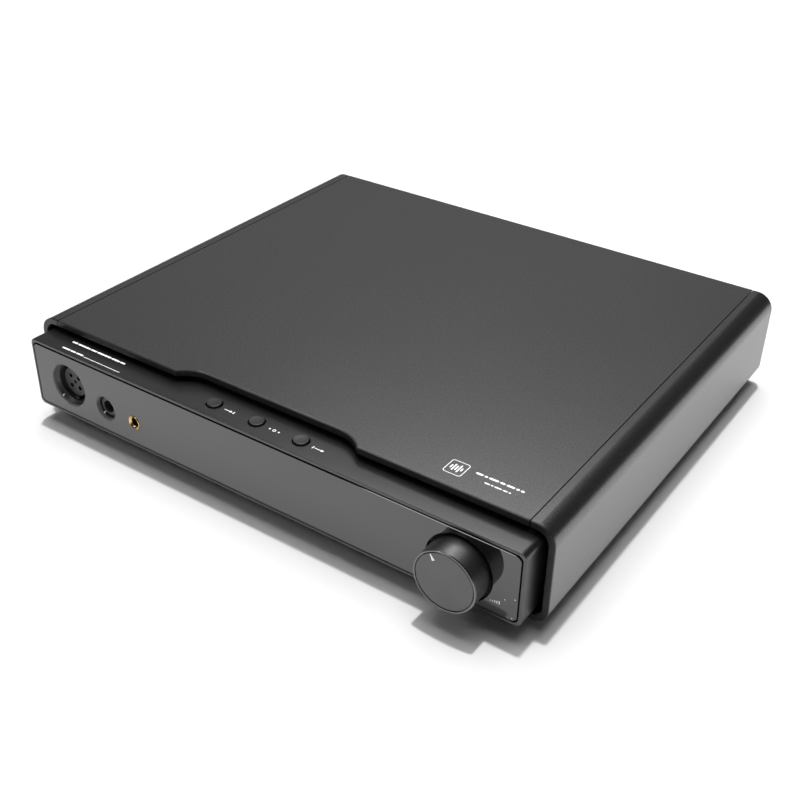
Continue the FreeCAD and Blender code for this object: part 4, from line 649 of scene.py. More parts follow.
@dataclass(frozen=True)
class FacedMetal(Finish):
    """Metal faced on a lathe: fine rings about the axis of a piece that looks forward."""

    x: float = 0.0
    z: float = 0.0
    pitch: float = 0.09

    def recipe(self) -> Recipe:
        """Rings about the turning axis, broken up by fine noise.

        Returns:
            The shader tree.
        """
        sheet = Recipe(self.name, self.colour, self.roughness, metallic=1.0)
        inputs = {"Vector": sheet.place, "Location": (-self.x * MM, 0.0, -self.z * MM), "Scale": (1, 0, 1)}
        centred = sheet.add("ShaderNodeMapping", inputs).outputs["Vector"]
        reach = sheet.add("ShaderNodeVectorMath", {0: centred}, operation="LENGTH").outputs["Value"]
        ring = sheet.add("ShaderNodeMath", {0: reach, 1: math.tau / (self.pitch * MM)}, operation="MULTIPLY")
        wave = sheet.add("ShaderNodeMath", {0: ring.outputs[0]}, operation="SINE").outputs[0]
        grain = sheet.noise(0.2, 2.0)
        sheet.gloss(grain, self.roughness - 0.03, self.roughness + 0.03)
        clouds = sheet.noise(9.0, 2.0)
        sheet.tint(sheet.spread(clouds), darker(self.colour, 0.96), darker(self.colour, 1.04))
        sheet.bump(sheet.ramp(wave, -1.0, 1.0), 0.0012)
        sheet.bump(grain, 0.004, 0.5)
        return sheet


@dataclass(frozen=True)
class GlossSheet(Finish):
    """Polished plastic or glass with a clear surface and a trace of dust."""

    index: float = 1.5
    dust: float = 0.02

    def recipe(self) -> Recipe:
        """Polish with a slow ripple and faint dust.

        Returns:
            The shader tree.
        """
        sheet = Recipe(self.name, self.colour, self.roughness)
        sheet.set("IOR", self.index)
        smears = sheet.noise(16.0, 4.0)
        dust = sheet.noise(0.35, 2.0)
        sheet.gloss(smears, self.roughness, self.roughness + self.dust)
        sheet.tint(sheet.ramp(dust, 0.62, 0.8, 0.0, 0.35), self.colour, (0.16, 0.16, 0.16))
        sheet.bump(sheet.noise(60.0, 1.0), 0.01, 0.3)
        return sheet


@dataclass(frozen=True)
class MouldedPlastic(Finish):
    """Moulded plastic with a spark-eroded texture."""

    grain: float = 0.12
    depth: float = 0.01
    index: float = 1.5

    def recipe(self) -> Recipe:
        """Fine texture with slightly polished high spots.

        Returns:
            The shader tree.
        """
        sheet = Recipe(self.name, self.colour, self.roughness)
        sheet.set("IOR", self.index)
        texture = sheet.noise(self.grain, 2.0)
        flow = sheet.noise(6.0, 2.0)
        sheet.gloss(texture, self.roughness + 0.06, self.roughness - 0.06)
        sheet.tint(sheet.spread(flow), darker(self.colour, 0.85), darker(self.colour, 1.15))
        sheet.bump(texture, self.depth)
        return sheet


@dataclass(frozen=True)
class Powder(Finish):
    """Powder coat: a fine orange-peel over steel."""

    peel: float = 0.7

    def recipe(self) -> Recipe:
        """Orange peel with fine grit in it.

        Returns:
            The shader tree.
        """
        sheet = Recipe(self.name, self.colour, self.roughness)
        peel = sheet.noise(self.peel, 1.5)
        grit = sheet.noise(self.peel / 4, 2.0)
        sheet.gloss(grit, self.roughness - 0.05, self.roughness + 0.08)
        sheet.tint(sheet.spread(peel), darker(self.colour, 0.85), darker(self.colour, 1.2))
        sheet.bump(peel, 0.03)
        sheet.bump(grit, 0.008, 0.7)
        return sheet


@dataclass(frozen=True)
class PlatedMetal(Finish):
    """Plated or tinned metal with slight tarnish in patches."""

    tarnish: Colour = (0.5, 0.45, 0.35)
    patch: float = 2.5

    def recipe(self) -> Recipe:
        """Bright plating that dulls in patches, with fine scratches.

        Returns:
            The shader tree.
        """
        sheet = Recipe(self.name, self.colour, self.roughness, metallic=1.0)
        patches = sheet.noise(self.patch, 4.0)
        scratches = sheet.noise(0.08, 2.0, sheet.stretched(1.0, 0.05, 1.0))
        sheet.tint(sheet.ramp(patches, 0.55, 0.75, 0.0, 0.6), self.colour, self.tarnish)
        sheet.gloss(patches, self.roughness * 0.8, self.roughness * 1.5)
        sheet.bump(scratches, 0.0015)
        return sheet


@dataclass(frozen=True)
class CircuitBoard(Finish):
    """Solder mask over copper: tracks show as a slight change of tone and height."""

    pitch: float = 2.2

    def recipe(self) -> Recipe:
        """Tracks along both axes with pads where they cross, under a glossy mask.

        Returns:
            The shader tree.
        """
        sheet = Recipe(self.name, self.colour, self.roughness)
        cells = {"Vector": sheet.place, "Scale": 1 / (self.pitch * MM), "Randomness": 0.0}
        pads = sheet.add("ShaderNodeTexVoronoi", cells, distance="CHEBYCHEV").outputs["Distance"]
        lanes = sheet.noise(14.0, 1.0, sheet.stretched(1.0, 0.15, 1.0))
        columns = sheet.noise(14.0, 1.0, sheet.stretched(0.15, 1.0, 1.0))
        inputs = {0: sheet.ramp(lanes, 0.5, 0.52), 1: sheet.ramp(columns, 0.52, 0.54)}
        either = sheet.add("ShaderNodeMath", inputs, operation="MAXIMUM").outputs[0]
        inputs = {0: either, 1: sheet.ramp(pads, 0.2, 0.14)}
        copper = sheet.add("ShaderNodeMath", inputs, operation="MAXIMUM").outputs[0]
        sheet.tint(copper, darker(self.colour, 0.75), darker(self.colour, 1.7))
        sheet.gloss(sheet.noise(1.5, 2.0), self.roughness, self.roughness + 0.1)
        sheet.bump(copper, 0.03)
        return sheet


@dataclass(frozen=True)
class Windings(Finish):
    """Enamelled wire wound round a core that stands upright, under clear film."""

    x: float = 0.0
    y: float = 0.0
    turns: float = 150.0

    def recipe(self) -> Recipe:
        """Turns fanned about the core's axis, with painted shade darkening the copper between them.

        Returns:
            The shader tree.
        """
        sheet = Recipe(self.name, self.colour, self.roughness)
        inputs = {"Vector": sheet.place, "Location": (-self.x * MM, -self.y * MM, 0.0)}
        centred = sheet.add("ShaderNodeMapping", inputs).outputs["Vector"]
        parts = sheet.add("ShaderNodeSeparateXYZ", {0: centred}).outputs
        angle = sheet.add("ShaderNodeMath", {0: parts[1], 1: parts[0]}, operation="ARCTAN2").outputs[0]
        turn = sheet.add("ShaderNodeMath", {0: angle, 1: self.turns}, operation="MULTIPLY").outputs[0]
        wave = sheet.ramp(sheet.add("ShaderNodeMath", {0: turn}, operation="SINE").outputs[0], -1.0, 1.0)
        # Painted shade: the copper darkens in the grooves between turns, following the same wave as the
        # relief.
        sheet.tint(wave, darker(self.colour, 0.35), self.colour)
        sheet.set("Coat Weight", 0.6)
        sheet.set("Coat Roughness", 0.12)
        sheet.gloss(sheet.noise(1.2, 2.0), self.roughness, self.roughness + 0.15)
        sheet.bump(wave, 0.35)
        return sheet


@dataclass(frozen=True)
class Ribbed(Finish):
    """Flat cable: parallel conductors under a soft sheath."""

    pitch: float = 1.27

    def recipe(self) -> Recipe:
        """One rib for each conductor, side by side along x, with painted shade in the grooves between them.

        Returns:
            The shader tree.
        """
        sheet = Recipe(self.name, self.colour, self.roughness)
        across = sheet.add("ShaderNodeSeparateXYZ", {0: sheet.place}).outputs[0]
        inputs = {0: across, 1: math.tau / (self.pitch * MM)}
        phase = sheet.add("ShaderNodeMath", inputs, operation="MULTIPLY").outputs[0]
        rib = sheet.ramp(sheet.add("ShaderNodeMath", {0: phase}, operation="SINE").outputs[0], -1.0, 1.0)
        # Painted shade: the sheath darkens in the grooves between conductors, following the ribs.
        sheet.tint(rib, darker(self.colour, 0.6), self.colour)
        sheet.gloss(sheet.noise(2.0), self.roughness, self.roughness + 0.1)
        sheet.bump(rib, 0.2)
        return sheet


@dataclass(frozen=True)
class ClearGlass(Finish):
    """Clear glass tube with faint draw lines."""

    def recipe(self) -> Recipe:
        """Glass whose surface carries slow waves.

        Returns:
            The shader tree.
        """
        sheet = Recipe(self.name, self.colour, self.roughness)
        sheet.set("Transmission Weight", 0.9)
        sheet.set("IOR", 1.5)
        waves = sheet.noise(3.0, 2.0, sheet.stretched(0.2, 1.0, 1.0))
        sheet.gloss(waves, self.roughness, self.roughness + 0.04)
        sheet.bump(waves, 0.02, 0.5)
        return sheet


@dataclass(frozen=True)
class Rubber(Finish):
    """Moulded rubber: dull, with a bloom of dust on it."""

    def recipe(self) -> Recipe:
        """Dull rubber with a pale bloom in patches.

        Returns:
            The shader tree.
        """
        sheet = Recipe(self.name, self.colour, self.roughness)
        bloom = sheet.noise(2.2, 4.0)
        grain = sheet.noise(0.15, 2.0)
        sheet.tint(sheet.ramp(bloom, 0.4, 0.8), self.colour, (0.06, 0.06, 0.058))
        sheet.gloss(grain, self.roughness - 0.08, self.roughness + 0.08)
        sheet.bump(grain, 0.015)
        return sheet


@dataclass(frozen=True)
class Enamel(Finish):
    """Screen-printed or filled enamel: even colour with a slightly ragged surface, and a faint painted glow.
    """

    def recipe(self) -> Recipe:
        """Ink with fine mottling, and a faint painted glow that makes it read as brightly lit.

        Returns:
            The shader tree.
        """
        sheet = Recipe(self.name, self.colour, self.roughness)
        # Painted light: the emission makes the white ink glow as if lit, though it is no lamp; the white
        # print itself is real.
        sheet.set("Emission Color", (*self.colour, 1.0))
        sheet.set("Emission Strength", 0.2)
        mottle = sheet.noise(0.12, 2.0)
        sheet.tint(sheet.spread(mottle), darker(self.colour, 0.9), self.colour)
        sheet.gloss(mottle, self.roughness - 0.06, self.roughness + 0.06)
        sheet.bump(mottle, 0.004)
        return sheet


class Palette:
    """The finishes of this unit, each made once."""

    CASE = BlastedMetal("case_blasted_anodised", "case_finish", (0.17, 0.17, 0.172), 0.28, variation=0.16)
    FASCIA = BlastedMetal("fascia_blasted_anodised", "fascia_finish", (0.1, 0.1, 0.102), 0.3,
                          depth=0.013, metallic=0.93)
    # Near-black strips on the front end faces of the lid and the side extrusions: painted shade for the dark
    # groove and the dark reflection there.
    PAINTED_SHADE_RIM = BlastedMetal("rim_painted_shade", "bulkhead_black", (0.05, 0.05, 0.051), 0.36,
                       depth=0.005, metallic=0.8)
    BASE = Powder("base_powder_coat", "base_finish", (0.03, 0.03, 0.031), 0.5)
    REAR = BlastedMetal("rear_anodised", "rear_finish", (0.075, 0.075, 0.078), 0.42)
    BULKHEAD = Powder("bulkhead_flat_black", "bulkhead_black", (0.03, 0.03, 0.03), 0.6)
    SMOKE = GlossSheet("smoke_acrylic", "gloss_black", (0.008, 0.008, 0.0085), 0.03, index=1.88)
    DISPLAY = GlossSheet("display_glass_off", "display_glass", (0.006, 0.006, 0.009), 0.02, index=1.52)
    SOCKET = MouldedPlastic("socket_nylon", "socket_black", (0.022, 0.022, 0.022), 0.42)
    SHELL = MouldedPlastic("socket_shell", "socket_black", (0.05, 0.05, 0.05), 0.36)
    CUT_EDGE = MouldedPlastic("acrylic_cut_edge", "gloss_black", (0.26, 0.26, 0.26), 0.5)
    SWITCH_CASE = MouldedPlastic("switch_case", "switch_black", (0.03, 0.03, 0.03), 0.5)
    CONTACT = PlatedMetal("contact_silver_plate", "contact_silver", (0.82, 0.8, 0.74), 0.2)
    GILT = PlatedMetal("gilt_plate", "gilded_brass", (0.8, 0.55, 0.22), 0.18, tarnish=(0.5, 0.33, 0.13))
    BOARD = CircuitBoard("solder_mask", "circuit_board", (0.012, 0.03, 0.02), 0.22)
    BRIGHT_CUT = BlastedMetal("knob_bright_cut", "knob_finish", (0.17, 0.17, 0.172), 0.22, depth=0.001)
    BUTTON = BlastedMetal("button_blasted_anodised", "button_finish", (0.11, 0.11, 0.112), 0.34, depth=0.006)
    WHITE = Enamel("white_enamel_painted_glow", "white_inlay", (0.94, 0.94, 0.94), 0.45)
    SCREW = PlatedMetal("screw_black_oxide", "black_screw", (0.06, 0.06, 0.06), 0.36,
                        tarnish=(0.1, 0.08, 0.06))
    STEEL = BrushedMetal("zinc_plated_steel", "shaft_steel", (0.6, 0.6, 0.62), 0.3, stretch=(1.0, 0.02, 1.0))
    TINNED = PlatedMetal("tinned_sheet", "plated_steel", (0.5, 0.5, 0.5), 0.26, tarnish=(0.36, 0.36, 0.35))
    FUSE = ClearGlass("fuse_glass", "fuse_glass", (0.95, 0.97, 0.97), 0.03)
    ROCKER = GlossSheet("rocker_gloss", "rocker_gloss", (0.012, 0.012, 0.012), 0.12)
    WHITE_PLASTIC = MouldedPlastic("insulator_white", "insulator_white", (0.72, 0.72, 0.7), 0.4)
    SHUTTER = MouldedPlastic("shutter_grey", "shutter_grey", (0.1, 0.1, 0.1), 0.4)
    SLEEVE = GlossSheet("capacitor_sleeve", "capacitor_sleeve", (0.012, 0.02, 0.06), 0.25)
    HEATSINK = BrushedMetal("heatsink_black", "heatsink_black", (0.05, 0.05, 0.05), 0.45,
                            stretch=(1.0, 1.0, 0.03))
    RELAY = MouldedPlastic("relay_case", "relay_case", (0.7, 0.68, 0.6), 0.3)
    RIBBON = Ribbed("ribbon_sheath", "ribbon_grey", (0.42, 0.42, 0.41), 0.5)
    # Near-black washer behind the knob: painted shade, a dark sheet put in the gap where shade and its
    # reflection fall.
    SHADE_WASHER = Rubber("knob_shade_washer_black", "foot_rubber", (0.004, 0.004, 0.004), 0.95)
    RUBBER = Rubber("foot_rubber_black", "foot_rubber", (0.02, 0.02, 0.02), 0.75)


# ---- Sub-assemblies ----

@dataclass
class Assembly:
    """A sub-assembly: it makes its pieces, dresses them and hangs each on its body."""

    body: str = "chassis"
    pieces: list[bpy.types.Object] = field(default_factory=list)

    def dress(self, piece: bpy.types.Object, finish: Finish) -> None:
        """Gives a piece one finish all over.

        Args:
            piece: The piece.
            finish: Its finish.
        """
        piece.data.materials.clear()
        piece.data.materials.append(finish.material())

    def keep(self, finish: Finish, *nodes: str) -> None:
        """Shows CAD nodes as they are, in a finish.

        Args:
            finish: The finish of these nodes.
            nodes: Names of the nodes.
        """
        for node in nodes:
            self.dress(frame["nodes"][node], finish)
            self.pieces.append(frame["nodes"][node])

    def soften(self, width: float, *nodes: str) -> None:
        """Breaks the sharp edges of CAD nodes with modifiers, so that they catch the light.

        Args:
            width: Width of the broken edges, in millimetres.
            nodes: Names of the nodes.
        """
        for node in nodes:
            piece = frame["nodes"][node]
            weld = piece.modifiers.new("weld", "WELD")
            weld.merge_threshold = 0.001 * MM
            bevel = piece.modifiers.new("broken_edges", "BEVEL")
            bevel.width = width * MM
            bevel.segments = 2
            bevel.limit_method = "ANGLE"
            bevel.angle_limit = BEVEL_ANGLE
            bevel.use_clamp_overlap = True
            normals = piece.modifiers.new("flat_faces_first", "WEIGHTED_NORMAL")
            normals.keep_sharp = False

    def mount(self, piece: bpy.types.Object, finish: Finish, *nodes: str, body: str | None = None
              ) -> bpy.types.Object:
        """Dresses a made piece, hangs it on a body and lets it stand for CAD nodes.

        Args:
            piece: The made piece, in place.
            finish: Its finish.
            nodes: CAD nodes that it stands for.
            body: The body it moves with, or None for the assembly's own.

        Returns:
            The piece.
        """
        self.dress(piece, finish)
        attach(piece, body or self.body)
        if nodes:
            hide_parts(*nodes)
        self.pieces.append(piece)
        return piece

    def build(self) -> None:
        """Makes and dresses every piece of the sub-assembly."""
        raise NotImplementedError


FEET = ("foot_front_left", "foot_front_right", "foot_back_left", "foot_back_right")


@dataclass
class Case(Assembly):
    """The outer case: two side panels, the notched top plate, the base plate and the feet."""

    wall: float = 3.0
    top_radius: float = 9.0
    base_radius: float = 7.0
    seam_inset: float = 11.6
    rim: float = 0.25
    trim: float = 0.9
    lid_trim_inset: float = 0.05
    notch_middle: float = -1.3
    notch_half: float = 51.8
    notch_depth: float = 6.15
    notch_arc: float = 20.0
    vent_rows: int = 9
    vent_pitch: float = 6.5
    vent_middle: float = 10.0
    vent_columns: tuple[float, ...] = (-84.0, -10.0)
    vent_half: tuple[float, float] = (13.0, 1.2)
    base_screw_head: float = 2.9
    base_screw_rows: tuple[float, ...] = (-66.0, 0.0, 66.0)
    foot_screw_hole: float = 1.5
    foot_screw_head: float = 3.6
    foot_screw_seat: float = 2.4
    foot_groove: float = 0.25
    clamp_hole: float = 3.0

    def build(self) -> None:
        """Builds the panels and plates and keeps the fasteners of the frame."""
        self.top_plate()
        for node, side in (("side_panel_left", -1), ("side_panel_right", 1)):
            self.side_panel(node, side)
        self.base_plate()
        self.keep(Palette.SCREW, "base_screws", "foot_screws", "rear_screws")
        for node in FEET:
            self.foot(node)

    def top_plate(self) -> None:
        """The lid: a plate whose front edge steps back between two arcs over the buttons."""
        box = Extent.of("top_plate")
        run = math.sqrt(self.notch_arc ** 2 - (self.notch_arc - self.notch_depth) ** 2)
        slope = math.acos(1 - self.notch_depth / self.notch_arc)
        front, back = box.low.y + self.trim, box.low.y + self.notch_depth + self.trim
        left = self.notch_middle - self.notch_half
        right = self.notch_middle + self.notch_half
        step = FINE_ARC_STEP / 2
        up = math.pi / 2
        left_arc = arc(Vector((left + run, back - self.notch_arc)), self.notch_arc, up + slope, up, step)
        right_arc = arc(Vector((right - run, back - self.notch_arc)), self.notch_arc, up, up - slope, step)
        edge = [Vector((box.low.x, front)), *left_arc, *right_arc, Vector((box.high.x, front))]
        outline = edge + [Vector((box.high.x, box.high.y)), Vector((box.low.x, box.high.y))]
        plate = SheetCut(outline, box.size.z, rim=0.12, rim_steps=0)
        top = Vector((0, 0, box.high.z))
        self.mount(plate.piece("lid", Facing.UP, top), Palette.CASE, "top_plate")
        # A dark strip along the lid's front edge paints in the shade and dark reflection where that edge
        # looks down into the groove.
        ahead = Vector((0, -self.trim))
        band = [point + ahead for point in edge] + edge[::-1]
        inset = self.lid_trim_inset
        trim = SheetCut(band, box.size.z - 2 * inset, rim=0.1, rim_steps=0)
        self.mount(trim.piece("lid_shade_strip", Facing.UP, top - Vector((0, 0, inset))), Palette.PAINTED_SHADE_RIM)

    def base_plate(self) -> None:
        """The base: a plate with two columns of round-ended vents and its screw holes."""
        box = Extent.of("base_plate")
        outline = box_outline(Vector((box.low.x, -box.high.y)), Vector((box.high.x, -box.low.y)))
        first = self.vent_middle - self.vent_pitch * (self.vent_rows - 1) / 2
        rows = [first + self.vent_pitch * row for row in range(self.vent_rows)]
        holes = [slot_outline(x, -y, *self.vent_half) for x in self.vent_columns for y in rows]
        screws = Extent.of("base_screws")
        head = self.base_screw_head
        columns = (screws.low.x + head, screws.high.x - head)
        holes += [circle(x, -y, head) for x in columns for y in self.base_screw_rows]
        feet = [Extent.of(node).centre for node in FEET]
        holes += [circle(foot.x, -foot.y, self.foot_screw_hole) for foot in feet]
        clamp = Extent.of("transformer_clamp").centre
        holes.append(circle(clamp.x, -clamp.y, self.clamp_hole))
        plate = SheetCut(outline, box.size.z, holes, rim=0.15, rim_steps=0)
        self.mount(plate.piece("base", Facing.DOWN, Vector((0, 0, box.low.z))), Palette.BASE, "base_plate")

    def side_panel(self, node: str, side: int) -> None:
        """One side extrusion, with its rounded corners and the lips that carry the plates.

        Args:
            node: The CAD node that it stands for.
            side: 1 on the listener's right, -1 on the left.
        """
        box = Extent.of(node)
        outer = max(box.high.x, -box.low.x)
        seam = outer - self.seam_inset
        inner_top = self.top_radius - self.wall
        inner_base = self.base_radius - self.wall
        corners = [
            Corner(seam, box.low.z), Corner(outer, box.low.z, self.base_radius),
            Corner(outer, box.high.z, self.top_radius), Corner(seam, box.high.z),
            Corner(seam, box.high.z - self.wall),
            Corner(outer - self.wall, box.high.z - self.wall, inner_top),
            Corner(outer - self.wall, box.low.z + self.wall, inner_base),
            Corner(seam, box.low.z + self.wall),
        ]
        mirrored = [Corner(side * corner.x, corner.y, corner.radius) for corner in corners]
        outline = rounded(mirrored, FINE_ARC_STEP)
        start = box.low.y + self.trim
        panel = SheetCut(outline, box.high.y - start, rim=self.rim, rim_steps=3)
        piece = panel.piece(node.replace("panel", "extrusion"), Facing.FRONT, Vector((0, start, 0)))
        self.mount(piece, Palette.CASE, node)
        # A dark strip on the extrusion's front end face paints in the shade at the groove.
        trim = SheetCut(outline, self.trim, rim=self.trim / 3)
        face = trim.piece(node.replace("panel", "rim"), Facing.FRONT, Vector((0, box.low.y, 0)))
        self.mount(face, Palette.PAINTED_SHADE_RIM)

    def foot(self, node: str) -> None:
        """A turned rubber foot with a grooved tread and a pocket for its screw."""
        box = Extent.of(node)
        radius = box.size.x / 2
        height = box.size.z
        groove = self.foot_groove
        head = self.foot_screw_head
        hole = self.foot_screw_hole
        tread = points((head, groove), (3.85, 0.0), (4.9, 0.0), (5.1, groove), (5.5, groove), (5.7, 0.0),
                       (7.1, 0.0))
        wall = points((radius - 0.9, 0.12), (radius - 0.25, 0.75), (radius, 1.4), (radius, height))
        inside = points((hole, height), (hole, self.foot_screw_seat), (head, self.foot_screw_seat))
        profile = tread + wall + inside
        origin = Vector((box.centre.x, box.centre.y, box.low.z))
        piece = Turned(profile, closed=True).piece(node.replace("foot", "rubber_foot"), Facing.UP, origin)
        self.mount(piece, Palette.RUBBER, node)


@dataclass
class FrontBlock(Assembly):
    """The front block in its groove: bulkhead, metal frame, gloss panel and the display."""

    panel_radius: float = 2.5
    knob_hole: float = 15.9
    balanced_hole: float = 11.4
    jack_hole: float = 6.5
    small_jack_hole: float = 3.5

    def build(self) -> None:
        """Cuts the gloss panel and dresses the rest of the block."""
        self.keep(Palette.BULKHEAD, "front_bulkhead")
        self.keep(Palette.FASCIA, "fascia_frame")
        self.keep(Palette.DISPLAY, "display_module")
        self.soften(0.25, "fascia_frame")
        self.gloss_panel()

    def gloss_panel(self) -> None:
        """The smoke acrylic panel with its openings."""
        box = Extent.of("gloss_panel")
        outline = box_outline(box.low.xz, box.high.xz, self.panel_radius)
        knob = Extent.of("volume_knob").centre
        balanced = Extent.of("xlr_socket_insert").centre
        jack = Extent.of("jack_635_body").centre
        small = Extent.of("jack_44_ring").centre
        holes = [
            circle(knob.x, knob.z, self.knob_hole, 120),
            circle(balanced.x, balanced.z, self.balanced_hole, 120),
            circle(jack.x, jack.z, self.jack_hole), circle(small.x, small.z, self.small_jack_hole),
        ]
        sheet = SheetCut(outline, box.size.y, holes, rim=0.15, rim_steps=0)
        piece = sheet.piece("smoke_panel", Facing.FRONT, Vector((0, box.low.y, 0)))
        self.mount(piece, Palette.SMOKE, "gloss_panel")


@dataclass
class HeadphoneSockets(Assembly):
    """The three headphone sockets and the board behind them.

    An opening is given as the node in it, its radius, the depth of its wall and where its key starts.
    """

    openings: tuple[tuple[str, float, float, float], ...] = (
        ("xlr_socket_insert", FrontBlock.balanced_hole, 1.15, 9.9),
        ("jack_635_body", FrontBlock.jack_hole, 2.15, 4.7),
    )
    wall_start: float = 0.06
    wall_thickness: float = 0.18
    wall_gap: float = 0.02
    key_angle: float = -128.0
    key_width: float = 0.4
    key_depth: float = 0.5
    key_proud: float = 0.35
    key_gap: float = 0.25
    small_jack_bore: float = 2.25
    liner_wall: float = 0.35

    def build(self) -> None:
        """Dresses the sockets and their contacts."""
        self.keep(Palette.SHELL, "xlr_socket_shell", "jack_635_body")
        self.keep(Palette.SOCKET, "xlr_socket_insert", "jack_44_body")
        self.keep(Palette.CONTACT, "xlr_socket_contacts", "jack_635_springs")
        self.keep(Palette.BOARD, "headphone_board")
        self.ring()
        front = Extent.of("gloss_panel").low.y
        start = -self.wall_start
        walls = []
        key_glints = []
        for node, radius, depth, inner in self.openings:
            centre = Extent.of(node).centre
            place = Vector((centre.x, front, centre.z))
            far = radius - self.wall_gap
            near = far - self.wall_thickness
            tube = points((near, start), (far, start), (far, -depth), (near, -depth))
            walls.append(Turned(tube, closed=True).piece("wall", Facing.FRONT, place))
            seat = place - Facing.FRONT.outward * (depth - self.key_proud)
            key_glints.append(self.key(seat, inner, radius - self.key_gap))
        self.mount(together("opening_walls", walls), Palette.CUT_EDGE)
        # The keys are white and glowing: a painted highlight for the bright glint at each hole's lower left.
        self.mount(together("socket_key_glints", key_glints), Palette.WHITE)

    def key(self, place: Vector, inner: float, outer: float) -> bpy.types.Object:
        """A key rib at a socket's lower left, made white and glowing as a painted highlight for the glint on
        its edge.

        Args:
            place: Middle of the socket, at the key's outward face.
            inner: Radius of its inner end.
            outer: Radius of its outer end.

        Returns:
            The key.
        """
        turn = Matrix.Rotation(math.radians(self.key_angle), 2)
        half = self.key_width / 2
        corners = points((inner, -half), (outer, -half), (outer, half), (inner, half))
        cut = SheetCut([turn @ corner for corner in corners], self.key_depth, rim=0.05)
        return cut.piece("key", Facing.FRONT, place)

    def ring(self) -> None:
        """The gilded ring of the small jack, with a rolled lip, and the liner in its bore."""
        box = Extent.of("jack_44_ring")
        outer = box.size.x / 2
        bore = self.small_jack_bore
        depth = box.size.y
        liner = bore + self.liner_wall
        profile = points(
            (liner, -depth), (liner, -0.95), (bore, -0.95), (bore + 0.08, -0.8), (outer - 0.5, -0.08),
            (outer - 0.35, 0.0), (outer - 0.1, -0.12), (outer, -0.4), (outer, -depth),
        )
        ring = Turned(profile, closed=True)
        origin = Vector((box.centre.x, box.low.y, box.centre.z))
        self.mount(ring.piece("small_jack_ring", Facing.FRONT, origin), Palette.GILT, "jack_44_ring")
        far = liner - self.wall_gap
        lining = Turned(points((bore, -1.0), (far, -1.0), (far, -depth), (bore, -depth)), closed=True)
        self.mount(lining.piece("small_jack_liner", Facing.FRONT, origin), Palette.SOCKET)


@dataclass
class PushButtons(Assembly):
    """Three push buttons with their switches and board."""

    radius: float = 3.5
    edge: float = 0.16
    cap_height: float = 2.1
    dish: float = 0.1
    stem: float = 2.3
    stem_end: float = 5.6
    flange: float = 3.6
    flange_under: float = 6.4
    flange_end: float = 8.8
    plunger: float = 1.6

    def build(self) -> None:
        """Makes the three caps and dresses what lies under them."""
        for node in ("input_button", "select_button", "output_button"):
            self.button(node)
        self.keep(Palette.SWITCH_CASE, "button_switches")
        self.keep(Palette.BOARD, "button_board")

    def button(self, node: str) -> None:
        """One button: a slightly dished cap on its stem, flange and plunger.

        Args:
            node: The CAD node that it stands for.
        """
        box = Extent.of(node)
        foot = -box.size.z
        edge = self.edge
        dished = points((0.0, -self.dish), (2.0, -0.7 * self.dish), (self.radius - edge, 0.0))
        side = points((self.radius - edge * 0.3, -edge * 0.3), (self.radius, -edge),
                      (self.radius, -self.cap_height))
        stem = points((self.stem, -self.cap_height), (self.stem, -self.stem_end))
        flange = points((self.flange, -self.stem_end), (self.flange, -self.flange_under),
                        (self.flange, -self.flange_end))
        plunger = points((self.plunger, -self.flange_end), (self.plunger, foot + 0.1),
                         (self.plunger - 0.1, foot), (0.0, foot))
        origin = Vector((box.centre.x, box.centre.y, box.high.z))
        cap = Turned(dished + side + stem + flange + plunger)
        piece = cap.piece(node + "_cap", Facing.UP, origin)
        self.mount(piece, Palette.BUTTON, node, body=node.replace("button", "key"))


